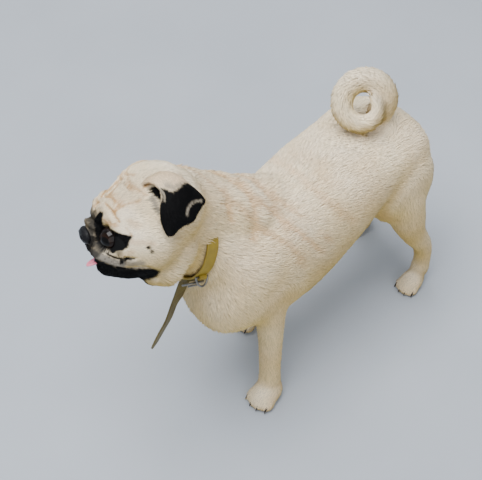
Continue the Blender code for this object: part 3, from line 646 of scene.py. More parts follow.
# Middle of the face, in mm from the head's middle: left, forward, up; reach and height in mm
MIDDLE_FOLDS = (
    (((0, 64, -17), (0, 63, -24), (0, 61, -33)), 1.5, -1.8),
    (((-12, 51, 3), (-6, 55, 7), (0, 57, 8), (6, 55, 7), (12, 51, 3)), 3.4, 2.4),
    (((-13, 50, 9), (-6, 53, 12.5), (0, 54, 13.5), (6, 53, 12.5), (13, 50, 9)), 2.2, -1.8),
    (((0, 51, 17), (0, 46, 27), (0, 38, 36)), 2.2, -1.4),
)
# Folds of neck and body: points of the photograph, reach in its pixels, height in mm
BODY_FOLDS = (
    (((221, 201), (226, 214), (227, 222)), 4.0, -1.4),
    (((232, 182), (243, 194), (250, 208), (251, 222), (248, 240)), 5.0, -1.5),
    (((249, 181), (262, 193), (270, 205), (275, 219), (281, 230)), 5.0, -1.4),
    (((241, 185), (253, 199), (260, 213), (263, 230)), 6.0, 1.0),
    (((270, 162), (289, 173), (308, 189), (323, 205)), 7.0, -1.1),
)

# Black shapes of the mask, as the photograph shows them, with their weight and soft edge in
# pixels
BLACK_SHAPES = (
    # round the eye and back to its outer corner
    (
        ((95, 224), (103, 226.5), (110, 228), (118, 232.5), (127, 235), (132, 236.5), (129.5, 241),
         (128, 246), (124, 250), (116, 251.5), (108, 251), (101, 248), (96.5, 241), (93.5, 232)),
        1.0, 2.2,
    ),
    # wisp above the inner corner
    (((99.5, 211.5), (103, 214), (102, 220), (103, 229), (95, 232), (92.5, 222), (96, 216)), 1.0, 2.0),
    # from the stop down beside the nose
    (
        ((79, 225), (84, 216), (90, 211), (96, 215), (96, 225), (95, 234), (93, 243), (84, 245), (80, 234)),
        0.80, 3.0,
    ),
    # lips and lower jaw
    (
        ((84, 247), (90, 255), (100, 260), (110.7, 264.4), (121.4, 267.5), (132, 268), (143, 267.2),
         (150, 267.5), (158.5, 271), (157, 275), (151, 278.5), (144, 280), (132, 285), (121.4, 287),
         (108, 284), (97, 279), (88, 268), (83, 258)),
        1.0, 2.4,
    ),
    # inner and lower rim of the eye
    (
        ((93.5, 224), (97, 226), (99, 233), (102, 240), (107, 245.5), (115, 248.5), (115, 251.5),
         (107, 250), (101, 247.5), (96.5, 242), (94, 235)),
        1.0, 1.6,
    ),
    # beside the nose and down to the lip
    (((84, 243), (90, 241), (92, 246), (93, 254), (89, 257), (84, 252)), 0.85, 3.5),
)
# The hollow in front of the ear, under its flap: black that is partly the dark inside of the ear and partly
# painted shade
EAR_HOLLOW_BLACK_AND_SHADE = (
    ((145.5, 189), (152, 187), (157, 187), (161, 192), (162, 199), (160, 204), (154.5, 198), (149, 194)),
    1.0, 1.6,
)
WHISKER_DOTS = (
    (88, 250), (92, 248.5), (94, 253), (98, 251), (99.5, 256), (103, 254.5), (105, 259),
    (109, 257.5), (111.5, 261.5), (116, 260.5), (119, 263.5), (125, 263),
)
# Dark lines: reach in pixels, weight, and share of the reach that is full
BLACK_LINES = (
    (
        ((93, 238), (96.4, 241.4), (101.8, 249.5), (109, 254.8), (116, 257.5), (125, 258.2), (134, 258.6)),
        1.5, 0.95, 0.3,
    ),
    (((92, 211), (91.5, 203), (94, 198)), 1.8, 0.75, 0.2),
    # roots of the whiskers
    *[(((x, y),), 1.0, 0.8, 0.2) for x, y in WHISKER_DOTS],
    (((147.4, 247.3),), 2.7, 1.0, 0.5),
    (((150.9, 251.6),), 2.5, 1.0, 0.5),
)
# Black round the nose and down the middle of the lips, in mm from the head's middle
NOSE_MARKS = (
    (((-15, 55, -7), (-9, 57, -17), (0, 59, -21), (9, 57, -17), (15, 55, -7)), 6.5, 0.95, 0.35),
    (((-12, 54, 3), (0, 56, 6), (12, 54, 3)), 4.5, 0.75, 0.2),
    (((0, 62, -22), (0, 61, -30), (0, 58, -44)), 10.0, 0.95, 0.5),
)
GREY_LINES = (
    (((86, 247), (92, 253), (101, 257.5), (111, 261.5), (122, 263.5)), 5.4, 1.0, 0.45),
    (((120, 262.5), (130, 263), (142, 263)), 4.4, 0.75, 0.2),
    (((99, 244), (104, 252), (111, 256), (124, 261)), 3.0, 0.45, 0.3),
    (((92, 220), (91, 230), (90.5, 238), (93, 244)), 4.2, 0.9, 0.4),
    (((90, 213), (88.5, 220)), 3.5, 0.7, 0.3),
    (((150, 199), (153, 206), (156, 212)), 4.0, 0.9, 0.4),
    (((162, 276), (164, 278)), 3.4, 0.6, 0.2),
)
# Tan of the face: real tan spots and the ear's root, and along the creases tan that is partly the coat's
# deeper colour in its folds and partly painted shade
TAN_AND_CREASE_SHADE_LINES = (
    (((101, 197.7), (106.3, 189.6), (112.5, 183.4), (118, 178)), 1.9, 0.95, 0.15),
    (((105.4, 193.2), (112.5, 188), (121.4, 180.7)), 1.7, 0.8, 0.15),
    (((113.4, 177.6), (121.4, 176.3), (132, 176.7)), 2.2, 0.6, 0.15),
    (((105.4, 204.4), (110.7, 210.2), (115.2, 217.3), (118.8, 221.8)), 2.2, 0.75, 0.15),
    (((94, 207), (99, 203)), 2.4, 0.7, 0.2),
    (((110, 199), (117, 200.5)), 5.5, 0.40, 0.1),
    (((122, 199), (126, 202)), 6.0, 0.22, 0.1),
    (((142, 187), (145, 184.5), (151, 181)), 3.4, 0.9, 0.2),
    (((153, 178.5), (167, 175.5), (182, 177.5)), 5.0, 0.55, 0.1),
    (((182, 229), (187.5, 231), (189.5, 238), (190, 248), (185, 262), (180.5, 274)), 3.4, 0.8, 0.1),
    (((194, 234), (195, 248), (189, 264)), 7.0, 0.45, 0.1),
    (((131, 242), (140, 243), (150, 244)), 5.0, 0.30, 0.1),
    (((121, 254), (132, 252)), 5.0, 0.30, 0.1),
)
# Tan along the folds of neck and body: partly the coat's deeper colour in its folds, partly painted shade
# in the creases
BODY_TAN_AND_CREASE_SHADE = (
    (((221, 202), (226, 214), (227, 222)), 4.5, 0.65, 0.1),
    (((219, 190), (223, 202), (226, 212)), 5.5, 0.5, 0.1),
    (((232, 182), (243, 194), (250, 208), (251, 222), (248, 240)), 5.5, 0.60, 0.1),
    (((249, 181), (262, 193), (270, 205), (275, 219), (281, 230)), 5.5, 0.55, 0.1),
    (((281, 230), (288, 249)), 6.0, 0.35, 0.1),
    (((270, 162), (289, 173), (308, 189), (323, 205)), 8.0, 0.38, 0.1),
    (((290, 158), (306, 162), (318, 168)), 15.0, 0.25, 0.1),
)


def line_weight(views, lines, ragged, body=False):
    """Strongest weight that any of the lines gives each point."""
    weight = np.zeros(len(ragged))
    for places, reach, strength, full in lines:
        for away, _, facing in views.line(places, body):
            near = smooth_step((1 - away / reach - ragged) / max(1 - full, 0.05))
            weight = np.maximum(weight, strength * near * facing)
    return weight


def shape_weight(views, shapes, ragged):
    weight = np.zeros(len(ragged))
    for places, strength, soft in shapes:
        for away, facing in views.shape(places):
            near = smooth_step(0.5 - away / soft - ragged)
            weight = np.maximum(weight, strength * near * facing)
    return weight


def markings(points, normals, views, face):
    """Black, tan and grey weights of the coat at each point, and the weight of painted shade on its under
    side.
    """
    ragged = 0.22 * wobble(points, 0.0035, 1) + 0.16 * wobble(points, 0.0015, 2)
    black = shape_weight(views, BLACK_SHAPES + (EAR_HOLLOW_BLACK_AND_SHADE,), ragged)
    black = np.maximum(black, line_weight(views, BLACK_LINES, ragged))
    for places, reach, strength, full in NOSE_MARKS:
        away = reach_to_path(points, path_on(face, places))[0] / (reach / 1000) + ragged
        black = np.maximum(black, strength * smooth_step((1 - away) / (1 - full)))
    for side in (1, -1):
        ring, _, far = lid_ring(points, side)
        ring = ring + 8 * smooth_step((far / EYE_RADIUS - 1.15) / 0.15)
        black = np.maximum(black, smooth_step((1.40 - ring - ragged) / 0.25))
    grey = line_weight(views, GREY_LINES, ragged)
    # the tan that follows the creases is partly painted shade
    tan = line_weight(views, TAN_AND_CREASE_SHADE_LINES, ragged)
    tan = np.maximum(tan, line_weight(views, BODY_TAN_AND_CREASE_SHADE, 1.6 * ragged, True))
    patches = smooth_step(0.5 + 1.1 * wobble(points, 0.055, 3)) * 0.16
    # painted shade: the coat takes a deeper, more tan colour the more its skin faces down
    under = smooth_step(0.62 - 0.62 * normals[:, 2]) + 0.12 * wobble(points, 0.03, 6)
    return np.stack([black, np.maximum(tan, patches), grey, np.clip(under, 0, 1)], 1)


# The eyes come a little forward and down from their solids
EYE_SHIFT = (0.0, 0.0028, -0.0030)


def eye_centre(side):
    low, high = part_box("eye_left" if side > 0 else "eye_right")
    left, ahead, up = EYE_SHIFT
    return (low + high) / 2 + HEAD.to_3x3() @ Vector((side * left, -ahead, up))


# The gap between the lids, in degrees round the eye: half width and half height
LID_GAP = (62, 52)


def eye_frame(side):
    """Ahead, back-along-the-head and up as the eye sees them."""
    ahead = head_direction(side * 0.62, 0.78, -0.08)
    up = head_direction(side * -0.10, -0.02, 1.0)
    across = up.cross(ahead).normalized()
    return ahead, across, ahead.cross(across).normalized()


def lid_ring(points, side):
    """How far out of the lids' gap each point is: 1 at its edge, 9 where it's far off."""
    ahead, across, up = (np.array(v) for v in eye_frame(side))
    away = points - np.array(eye_centre(side))
    far = np.linalg.norm(away, axis=1)
    way = away / np.maximum(far, 1e-9)[:, None]
    flat = np.stack([way @ across, way @ up], 1)
    turned = np.degrees(np.arctan2(np.linalg.norm(flat, axis=1), way @ ahead))
    ring = np.linalg.norm(unit(flat) / LID_GAP, axis=1) * turned
    ring[far > EYE_RADIUS * 2.4] = 9.0
    return ring, way, far


def shape_lids(points, side):
    """Rounds the lids' edges over the eye, and tucks the skin between them behind it."""
    ring, way, far = lid_ring(points, side)
    lid = EYE_RADIUS + LID * (0.25 + 0.75 * smooth_step((ring - 1.0) / 0.22))
    opened = smooth_step((1.0 - ring) / 0.10)
    target = lid * (1 - opened) + (EYE_RADIUS - 0.0012) * opened
    near = 1 - smooth_step((far / EYE_RADIUS - 1.25) / 0.30)
    reach = far + (target - far) * (1 - smooth_step((ring - 1.22) / 0.45)) * near
    return np.array(eye_centre(side)) + way * reach[:, None]


def lid_surround(points, side):
    """The skin round an eye, which is evened out between the lids and the face."""
    ring, _, far = lid_ring(points, side)
    outer = 1 - smooth_step((far / EYE_RADIUS - 1.3) / 0.5)
    return smooth_step((ring - 1.15) / 0.2) * outer


# The way that the coat lies on each part, as left, back and up, and on the chest, which ends here
COAT_WAYS = (
    ("torso", (0, 1.0, -0.30)),
    ("neck", (0, 0.75, -0.75)),
    ("front_leg", (0, 0.12, -1.0)),
    ("hind_leg", (0, 0.12, -1.0)),
    ("front_paw", (0, -0.9, -0.45)),
    ("hind_paw", (0, -0.9, -0.45)),
)
CHEST_WAY = (0, 0.45, -0.9)
CHEST_END = -0.075


def flow_of(owner, kinds, points, normals, edges):
    """The way that the coat lies, as directions along the skin."""
    flow = np.zeros_like(points)
    word = np.array(FLESH)[owner]
    for start, way in COAT_WAYS:
        flow[np.char.startswith(word, start)] = way
    flow[(word == "torso") & (points[:, 1] < CHEST_END)] = CHEST_WAY
    local = in_head(points)
    head = np.isin(kinds, ("head", "face"))
    ones = np.ones(len(points))
    back = np.stack([0.55 * np.sign(local[:, 0]) * ones, -ones, 0.1 * ones], 1)
    low = smooth_step((-local[:, 2]) / 40)
    back[:, 2] -= 0.9 * low
    high = smooth_step((local[:, 2] - 5) / 25) * (local[:, 1] > 20)
    back[:, 2] += 1.2 * high
    world = back * np.array((1, -1, 1)) @ np.array(HEAD.to_3x3()).T
    flow[head] = world[head]
    tail = word == "tail"
    track = tail_track()
    steps = track[1:] - track[:-1]
    middles = (track[1:] + track[:-1]) / 2
    nearest = ((points[tail][:, None] - middles[None]) ** 2).sum(2).argmin(1)
    flow[tail] = unit(steps)[nearest]
    flow = unit(flow)
    flow = relax(flow, edges, 14)
    flow -= (flow * normals).sum(1)[:, None] * normals
    return unit(flow)


# Middle line of the curled tail, as in the part: middle, axle, turns in degrees, reach and
# shift along the axle
TAIL_MIDDLE = Vector((-0.00545, 0.14679, 0.322))
TAIL_AXLE = Vector((0.74, -0.578, 0.342)).normalized()
TAIL_TURNS = (-60, 405)
TAIL_REACH = (0.029, 0.0265, 0.0215, 0.0095)
TAIL_SHIFT = (-0.014, -0.006, 0.010, 0.012)
TAIL_ROOT = (0.00055, 0.19779, 0.262)


def tail_track():
    back = (Vector((0, 1, 0)) - TAIL_AXLE * TAIL_AXLE.y).normalized()
    up = back.cross(TAIL_AXLE)
    if up.z < 0:
        up = -up
    rows = smooth_path(list(zip(TAIL_REACH, TAIL_SHIFT)), 10)
    track = [TAIL_ROOT]
    for share, (reach, shift) in zip(np.linspace(0, 1, len(rows)), rows):
        angle = math.radians(TAIL_TURNS[0] + share * (TAIL_TURNS[1] - TAIL_TURNS[0]))
        turned = back * reach * math.cos(angle) + up * reach * math.sin(angle)
        track.append(tuple(TAIL_MIDDLE + turned + TAIL_AXLE * shift))
    return np.array(track)


def set_markings(mesh, name, values):
    """Keeps up to four weights a point as one colour attribute."""
    rows = np.ones((len(values), 4), np.float32)
    rows[:, : values.shape[1]] = values
    attribute = mesh.attributes.new(name, "FLOAT_COLOR", "POINT")
    attribute.data.foreach_set("color", rows.ravel())


# Where the photograph's camera sees the dip that the part's neck has behind the buckle, and
# how far round it the skin is evened out
DIP_SEEN = (219, 293)
DIP_REACH = 0.052
DIP_ROUNDS = 220
# The face, where the skin is finest: forward of this and within this of the head's middle, in mm
FACE_FROM = 17
FACE_REACH = 90


def under_hardware(points):
    """Presses the skin in where a metal piece of the collar lies on it."""
    points = points.copy()
    side, top, _ = collar_axes()
    angle, radius, _ = in_collar(points)
    for name in ("collar_buckle", "collar_ring", "collar_keeper", "collar_pin", "collar_end"):
        tree, _, middle, reach = blocker(nodes[name], 0)
        for i in np.nonzero(np.linalg.norm(points - middle, axis=1) < reach)[0]:
            out = math.cos(angle[i]) * top + math.sin(angle[i]) * side
            start = points[i] - out * radius[i] * 0.5
            hit = tree.ray_cast(Vector(start), Vector(out), radius[i])[0]
            if hit is not None:
                room = (np.array(hit) - start) @ out - 0.0012
                points[i] = start + out * min(radius[i] * 0.5, room)
    return points


def build_skin(route):
    """The whole body's skin, inside the solids by the coat's depth, with folds and lids."""
    skin = merged_flesh("skin", FLESH + ["collar_strap"], 0.00025)
    turn = HEAD.to_3x3().to_4x4()
    add_mound(skin, on_head(*NOSE_BED_AT), turn, NOSE_BED_RADII)
    voxel_skin(skin, SKIN_VOXEL)
    mesh = skin.data
    points = points_of(mesh)
    edges = edges_of(mesh)
    owner = owner_of(points)
    kinds = coat_kind(owner, points)
    calm = np.select([kinds == "face", kinds == "paw", kinds == "head"], [0.35, 0.3, 0.7], 1.0)
    points = relax(points, edges, 9, calm)
    set_points(mesh, points)
    depth = np.array([COAT[kind][0] / 1000 for kind in kinds])
    depth = relax(depth, edges, 10)
    normals = unit(relax(normals_of(mesh), edges, 2))
    set_points(mesh, points - normals * depth[:, None])
    finer_where(mesh, np.isin(kinds, ("head", "face")))
    points = points_of(mesh)
    local = in_head(points)
    finer_where(mesh, (local[:, 1] > FACE_FROM) & (np.linalg.norm(local, axis=1) < FACE_REACH))
    points = points_of(mesh)
    edges = edges_of(mesh)
    local = in_head(points)
    head_part = smooth_step((95 - np.linalg.norm(local, axis=1)) / 15)
    set_points(mesh, relax(points, edges, 6, head_part))
    points = points_of(mesh)
    head = owner_of(points) == FLESH.index("head")
    dip = tree_of(mesh).ray_cast(CAMERA_AT, sight_line(*DIP_SEEN))[0]
    fill = smooth_step((DIP_REACH - np.linalg.norm(points - np.array(dip), axis=1)) / 0.02)
    fill[head] = 0
    set_points(mesh, relax(points, edges, DIP_ROUNDS, fill))
    face = head_tree(mesh, head)
    fold_skin(mesh, face, head)
    points = seat_strap(points_of(mesh), route)
    set_points(mesh, under_hardware(points))
    return skin, face, head


def fold_skin(mesh, face, head):
    """Shapes the lids, then presses the folds into the skin and raises those between them."""
    edges = edges_of(mesh)
    for side in (1, -1):
        points = shape_lids(points_of(mesh), side)
        points = relax(points, edges, 5, lid_surround(points, side))
        set_points(mesh, shape_lids(points, side))
    points = points_of(mesh)
    normals = normals_of(mesh)
    views = Views(points, normals, head)
    lift = np.zeros(len(points))
    for folds, body in ((FACE_FOLDS, False), (BODY_FOLDS, True)):
        for places, reach, height in folds:
            for away, along, facing in views.line(places, body):
                fade = smooth_step(np.minimum(along, 1 - along) * 6 + 0.25)
                lift += height / 1000 * np.exp(-((away / reach) ** 2)) * fade * facing
    for places, reach, height in MIDDLE_FOLDS:
        away, _ = reach_to_path(points, path_on(face, places))
        lift += height / 1000 * np.exp(-((away / (reach / 1000 * 0.7)) ** 2))
    for side in (1, -1):
        lift *= smooth_step((lid_ring(points, side)[0] - 1.1) / 0.3)
    set_points(mesh, points + normals * lift[:, None])


# Coat


def patch_map(mesh, chosen):
    """A coarse unwrapped copy of a part of the skin, to place the tufts' patches on."""
    bm = bmesh.new()
    bm.from_mesh(mesh)
    gone = [f for f in bm.faces if not any(chosen[v.index] for v in f.verts)]
    bmesh.ops.delete(bm, geom=gone, context="FACES")
    coarse = bpy.data.meshes.new("unwrap")
    bm.to_mesh(coarse)
    bm.free()
    obj = new_piece("unwrap", coarse)
    thin = obj.modifiers.new("thin", "DECIMATE")
    thin.ratio = min(1.0, 2600 / max(len(coarse.polygons), 1))
    apply_all(obj)
    only(obj)
    bpy.ops.object.mode_set(mode="EDIT")
    bpy.ops.mesh.select_all(action="SELECT")
    bpy.ops.uv.smart_project(angle_limit=math.radians(66), island_margin=0.006)
    bpy.ops.object.mode_set(mode="OBJECT")
    mesh = obj.data
    triangles = triangles_of(mesh)
    loops = np.empty(len(mesh.loop_triangles) * 3, np.int32)
    mesh.loop_triangles.foreach_get("loops", loops)
    uv = np.empty(len(mesh.loops) * 2, np.float32)
    mesh.uv_layers.active.data.foreach_get("uv", uv)
    uv = uv.reshape(-1, 2)[loops.reshape(-1, 3)]
    corners = points_of(mesh)[triangles]
    tree = BVHTree.FromPolygons([Vector(p) for p in points_of(mesh)], [tuple(t) for t in triangles])
    drop(obj)
    return tree, corners, uv


def patch_places(found, roots):
    tree, corners, uv = found
    places = np.empty((len(roots), 2))
    for i, root in enumerate(roots):
        hit, _, face, _ = tree.find_nearest(Vector(root))
        a, b, c = corners[face]
        p = np.array(hit)
        area = np.linalg.norm(np.cross(b - a, c - a)) + 1e-18
        wb = np.linalg.norm(np.cross(p - a, c - a)) / area
        wc = np.linalg.norm(np.cross(b - a, p - a)) / area
        wa = max(0.0, 1 - wb - wc)
        places[i] = (uv[face] * np.array((wa, wb, wc))[:, None]).sum(0) / (wa + wb + wc)
    return np.clip(places, 0.002, 0.995)


PATCH = 0.0015
# Corners of a tuft: left and right of its root, below it, left and right half way, tip
TUFT_FACES = np.array(
    [(0, 4, 1), (0, 3, 4), (3, 5, 4), (0, 2, 3), (3, 2, 5), (5, 2, 4), (4, 2, 1), (0, 1, 2)]
)
TUFT_PATCH = ((-1, -0.9), (1, -0.9), (0, -1), (-0.8, 0), (0.8, 0), (0, 1))
TUFT_ALONG = (0.0, 0.0, 0.0, 0.45, 0.45, 1.0)
# How far the shading leans outwards across each corner, to round the tuft
TUFT_LEAN = (-0.55, 0.55, 0.0, -0.55, 0.55, 0.0)


class Field:
    """What the coat needs at each point of the skin."""

    def __init__(self, mesh, flow, sizes, density, marks):
        self.mesh = mesh
        self.points = points_of(mesh)
        self.normals = normals_of(mesh)
        self.flow = flow
        self.sizes = sizes
        self.density = density
        self.marks = marks
        self.triangles = triangles_of(mesh)


def spread_roots(field, seed):
    """Evenly spread roots: triangle and shares of its corners, as many as the density asks."""
    rng = np.random.default_rng(seed)
    a, b, c = (field.points[field.triangles[:, i]] for i in range(3))
    area = np.linalg.norm(np.cross(b - a, c - a), axis=1) / 2 * 1e4
    wanted = np.cumsum(area * field.density[field.triangles].mean(1))
    count = int(wanted[-1])
    pick = np.searchsorted(wanted, (np.arange(count) + rng.random(count)) / count * wanted[-1])
    pick = np.minimum(pick, len(field.triangles) - 1)
    u, v = rng.random(count), rng.random(count)
    over = u + v > 1
    u[over], v[over] = 1 - u[over], 1 - v[over]
    return pick, np.stack([1 - u - v, u, v], 1), rng


def tuft_shapes(roots, normals, flow, sizes, rng):
    """Corners of each tuft, bent over along the way that the coat lies, and their shading."""
    count = len(roots)
    length, width, rise = (sizes[:, i] / 1000 for i in range(3))
    length = length * rng.uniform(0.7, 1.25, count)
    width = width * rng.uniform(0.75, 1.25, count)
    rise = rise * rng.uniform(0.6, 1.25, count)
    turn = rng.normal(0, 0.13, count)
    side = np.cross(normals, flow)
    ahead = flow * np.cos(turn)[:, None] + side * np.sin(turn)[:, None]
    side = np.cross(normals, ahead)
    bend = rng.normal(0, 0.10, count)[:, None]
    out = np.sqrt(np.maximum(length**2 - rise**2, 1e-10))[:, None]
    rise = rise[:, None]
    width = width[:, None]
    half = side * width * 0.5
    middle = roots + ahead * out * 0.42 + normals * rise * 0.78 + side * out * bend * 0.35
    shape = np.empty((count, 6, 3))
    shape[:, 0] = roots - half - normals * width * 0.3
    shape[:, 1] = roots + half - normals * width * 0.3
    shape[:, 2] = roots - normals * width * 0.9
    shape[:, 3] = middle - half * 0.9
    shape[:, 4] = middle + half * 0.9
    shape[:, 5] = roots + ahead * out + normals * rise + side * out * bend
    lean = side[:, None] * np.array(TUFT_LEAN)[None, :, None]
    return shape, unit(normals[:, None] + lean)


def tuft_mesh(name, shape, shading, places, marks, rng):
    count, corners = shape.shape[:2]
    mesh = bpy.data.meshes.new(name)
    faces = (TUFT_FACES[None] + corners * np.arange(count)[:, None, None]).reshape(-1, 3)
    mesh.vertices.add(count * corners)
    mesh.vertices.foreach_set("co", shape.astype(np.float32).ravel())
    mesh.loops.add(faces.size)
    mesh.loops.foreach_set("vertex_index", faces.astype(np.int32).ravel())
    mesh.polygons.add(len(faces))
    mesh.polygons.foreach_set("loop_start", np.arange(0, faces.size, 3, dtype=np.int32))
    mesh.update(calc_edges=True)
    uv = places[:, None] + np.array(TUFT_PATCH)[None] * PATCH
    uv = uv.reshape(-1, 2)[faces.ravel()]
    layer = mesh.uv_layers.new(name="OFBake")
    layer.data.foreach_set("uv", uv.astype(np.float32).ravel())
    set_markings(mesh, "markings", np.repeat(marks, corners, axis=0))
    strand = np.zeros((count, corners, 3))
    strand[:, :, 0] = TUFT_ALONG
    strand[:, :, 1] = rng.random(count)[:, None]
    set_markings(mesh, "strand", strand.reshape(-1, 3))
    mesh.polygons.foreach_set("use_smooth", np.ones(len(faces), bool))
    mesh.normals_split_custom_set_from_vertices(shading.reshape(-1, 3))
    return mesh


def stays_clear(tree, point, room):
    """Whether a point is outside a closed surface and no nearer than this."""
    hit, normal, _, away = tree.find_nearest(Vector(point), 0.010)
    return hit is None or (away > room and (Vector(point) - hit).dot(normal) > 0)


def blocker(obj, room):
    """A piece that tufts keep clear of, with a ball round it to search in."""
    points = points_of(obj.data)
    middle = (points.min(0) + points.max(0)) / 2
    return tree_of(obj.data), room, middle, np.linalg.norm(points - middle, axis=1).max() + 0.012


def grow_coat(field, groups, seed, material, blockers):
    """Tufts all over a skin, as pieces by group, each under the limit."""
    pick, shares, rng = spread_roots(field, seed)
    corners = field.triangles[pick]

    def blend(values):
        return (values[corners] * shares[:, :, None]).sum(1)

    roots = blend(field.points)
    normals = unit(blend(field.normals))
    flow = blend(field.flow)
    flow = unit(flow - (flow * normals).sum(1)[:, None] * normals)
    sizes = blend(field.sizes)
    marks = blend(field.marks)
    shape, shading = tuft_shapes(roots, normals, flow, sizes, rng)
    shape[:, :, 2] = np.maximum(shape[:, :, 2], 0.0002)
    keep = np.ones(len(roots), bool)
    for tree, room, middle, reach in blockers:
        near = np.linalg.norm(shape[:, 5] - middle, axis=1) < reach
        for i in np.nonzero(keep & near)[0]:
            keep[i] = all(stays_clear(tree, shape[i, corner], room) for corner in (3, 4, 5))
    group = groups[corners[:, 0]]
    made = []
    for index in np.unique(group):
        chosen = np.nonzero(keep & (group == index))[0]
        if not len(chosen):
            continue
        found = patch_map(field.mesh, groups == index)
        parts = math.ceil(len(chosen) / COAT_PIECE_LIMIT)
        order = chosen[np.argsort(roots[chosen, 1], kind="stable")]
        for part, members in enumerate(np.array_split(order, parts)):
            name = "coat_" + GROUPS[index] + ("_" + "abcdef"[part] if parts > 1 else "")
            places = patch_places(found, roots[members])
            mesh = tuft_mesh(name, shape[members], shading[members], places, marks[members], rng)
            mesh.materials.append(material)
            piece = new_piece(name, mesh)
            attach(piece, "root")
            made.append(piece)
    return made


# Pieces of the coat, and where the torso's front piece meets its back one
TORSO_SPLIT = 0.06
GROUPS = ["head", "neck", "torso_front", "torso_back", "tail", "front_legs", "hind_legs", "ears"]


def group_of(owner, points):
    """Which piece of the coat each point belongs to."""
    group = np.zeros(len(points), int)
    word = np.array(FLESH)[owner]
    group[word == "neck"] = 1
    torso = word == "torso"
    group[torso] = np.where(points[torso, 1] < TORSO_SPLIT, 2, 3)
    group[word == "tail"] = 4
    group[np.char.startswith(word, "front_")] = 5
    group[np.char.startswith(word, "hind_")] = 6
    return group


# Materials


def node(tree, kind, values=None):
    """Adds a node; each value is a setting, an input's constant, or a socket to link from."""
    made = tree.nodes.new(kind)
    for name, value in (values or {}).items():
        if isinstance(value, bpy.types.NodeSocket):
            tree.links.new(value, made.inputs[name])
        elif isinstance(name, str) and hasattr(made, name):
            setattr(made, name, value)
        else:
            made.inputs[name].default_value = value
    return made


def new_material(name):
    material = bpy.data.materials.new(name)
    material.use_nodes = True
    tree = material.node_tree
    return material, tree, tree.nodes["Principled BSDF"]


CREAM = "FCF2DE"
CREAM_DEEP = "F2DDB4"
# painted shade of the coat's under side
PAINTED_UNDER_SHADE = "D4B76E"
# tan of the coat, also used as painted shade along its creases
FAWN = "C4965F"
MASK = "020203"
GREY = "8E877B"


def coat_colour(tree):
    """The coat's colour from its markings, with the slow drift of real fur."""
    marks = node(tree, "ShaderNodeAttribute", {"attribute_name": "markings"})
    weights = node(tree, "ShaderNodeSeparateColor", {"Color": marks.outputs["Color"]})
    place = node(tree, "ShaderNodeTexCoord").outputs["Object"]
    drift = node(tree, "ShaderNodeTexNoise", {"Scale": 28.0, "Detail": 3.0, "Vector": place})
    colour = linear(CREAM)
    for share, over in (
        (drift.outputs["Fac"], CREAM_DEEP),
        # the fourth weight mixes in the painted shade of the under side
        (marks.outputs["Alpha"], PAINTED_UNDER_SHADE),
        (weights.outputs["Green"], FAWN),
        (weights.outputs["Blue"], GREY),
        (weights.outputs["Red"], MASK),
    ):
        values = {"data_type": "RGBA", 0: share, 6: colour, 7: linear(over)}
        colour = node(tree, "ShaderNodeMix", values).outputs[2]
    return colour, place


def skin_finish():
    """Short fur seen close, over skin: no shine, fine hair-wide ripples, and the coat's colour darkened as
    painted shade between the tufts.
    """
    material, tree, shader = new_material("short_fur_ground")
    colour, place = coat_colour(tree)
    # painted shade: the ground between the tufts is the coat's colour at three quarters of its value
    painted_ground_shade = node(tree, "ShaderNodeHueSaturation", {"Value": 0.75, "Color": colour})
    tree.links.new(painted_ground_shade.outputs["Color"], shader.inputs["Base Color"])
    shader.inputs["Specular IOR Level"].default_value = 0.2
    fine = node(tree, "ShaderNodeTexNoise", {"Scale": 1400.0, "Detail": 4.0, "Vector": place})
    ripple = {"Strength": 0.5, "Distance": 0.0004, "Height": fine.outputs["Fac"]}
    tree.links.new(node(tree, "ShaderNodeBump", ripple).outputs["Normal"], shader.inputs["Normal"])
    shader.inputs["Roughness"].default_value = 0.8
    return material


def tuft_finish():
    """Short soft guard hair: each tuft a little lighter to its tip, and unlike the next."""
    material, tree, shader = new_material("short_pug_coat")
    colour, _ = coat_colour(tree)
    strand = node(tree, "ShaderNodeAttribute", {"attribute_name": "strand"})
    parts = node(tree, "ShaderNodeSeparateColor", {"Color": strand.outputs["Color"]})
    own = {"operation": "MULTIPLY_ADD", 0: parts.outputs["Green"], 1: 0.26, 2: 0.80}
    value = node(tree, "ShaderNodeMath", own).outputs[0]
    paler = {"operation": "MULTIPLY_ADD", 0: parts.outputs["Red"], 1: 0.16, 2: value}
    rooted = node(tree, "ShaderNodeMath", paler).outputs[0]
    shade = node(tree, "ShaderNodeHueSaturation", {"Value": rooted, "Color": colour})
    tree.links.new(shade.outputs["Color"], shader.inputs["Base Color"])
    shader.inputs["Roughness"].default_value = 0.6
    shader.inputs["Specular IOR Level"].default_value = 0.10
    return material


def eye_finish():
    """A living eye: black pupil, very dark brown iris, wet clear front."""
    material, tree, shader = new_material("wet_dark_eye")
    marks = node(tree, "ShaderNodeAttribute", {"attribute_name": "markings"})
    weights = node(tree, "ShaderNodeSeparateColor", {"Color": marks.outputs["Color"]})
    ramp = node(tree, "ShaderNodeValToRGB", {"Fac": weights.outputs["Red"]})
    stops = (
        (0.0, "040303"), (0.36, "050404"), (0.42, "1C0F08"),
        (0.66, "120A06"), (0.74, "0A0707"), (0.9, "171110"),
    )
    ramp.color_ramp.elements[0].position = stops[0][0]
    ramp.color_ramp.elements[0].color = linear(stops[0][1])
    ramp.color_ramp.elements[1].position = stops[-1][0]
    ramp.color_ramp.elements[1].color = linear(stops[-1][1])
    for place, colour in stops[1:-1]:
        ramp.color_ramp.elements.new(place).color = linear(colour)
    tree.links.new(ramp.outputs["Color"], shader.inputs["Base Color"])
    shader.inputs["Roughness"].default_value = 0.06
    shader.inputs["IOR"].default_value = 1.33
    shader.inputs["Specular IOR Level"].default_value = 0.40
    return material


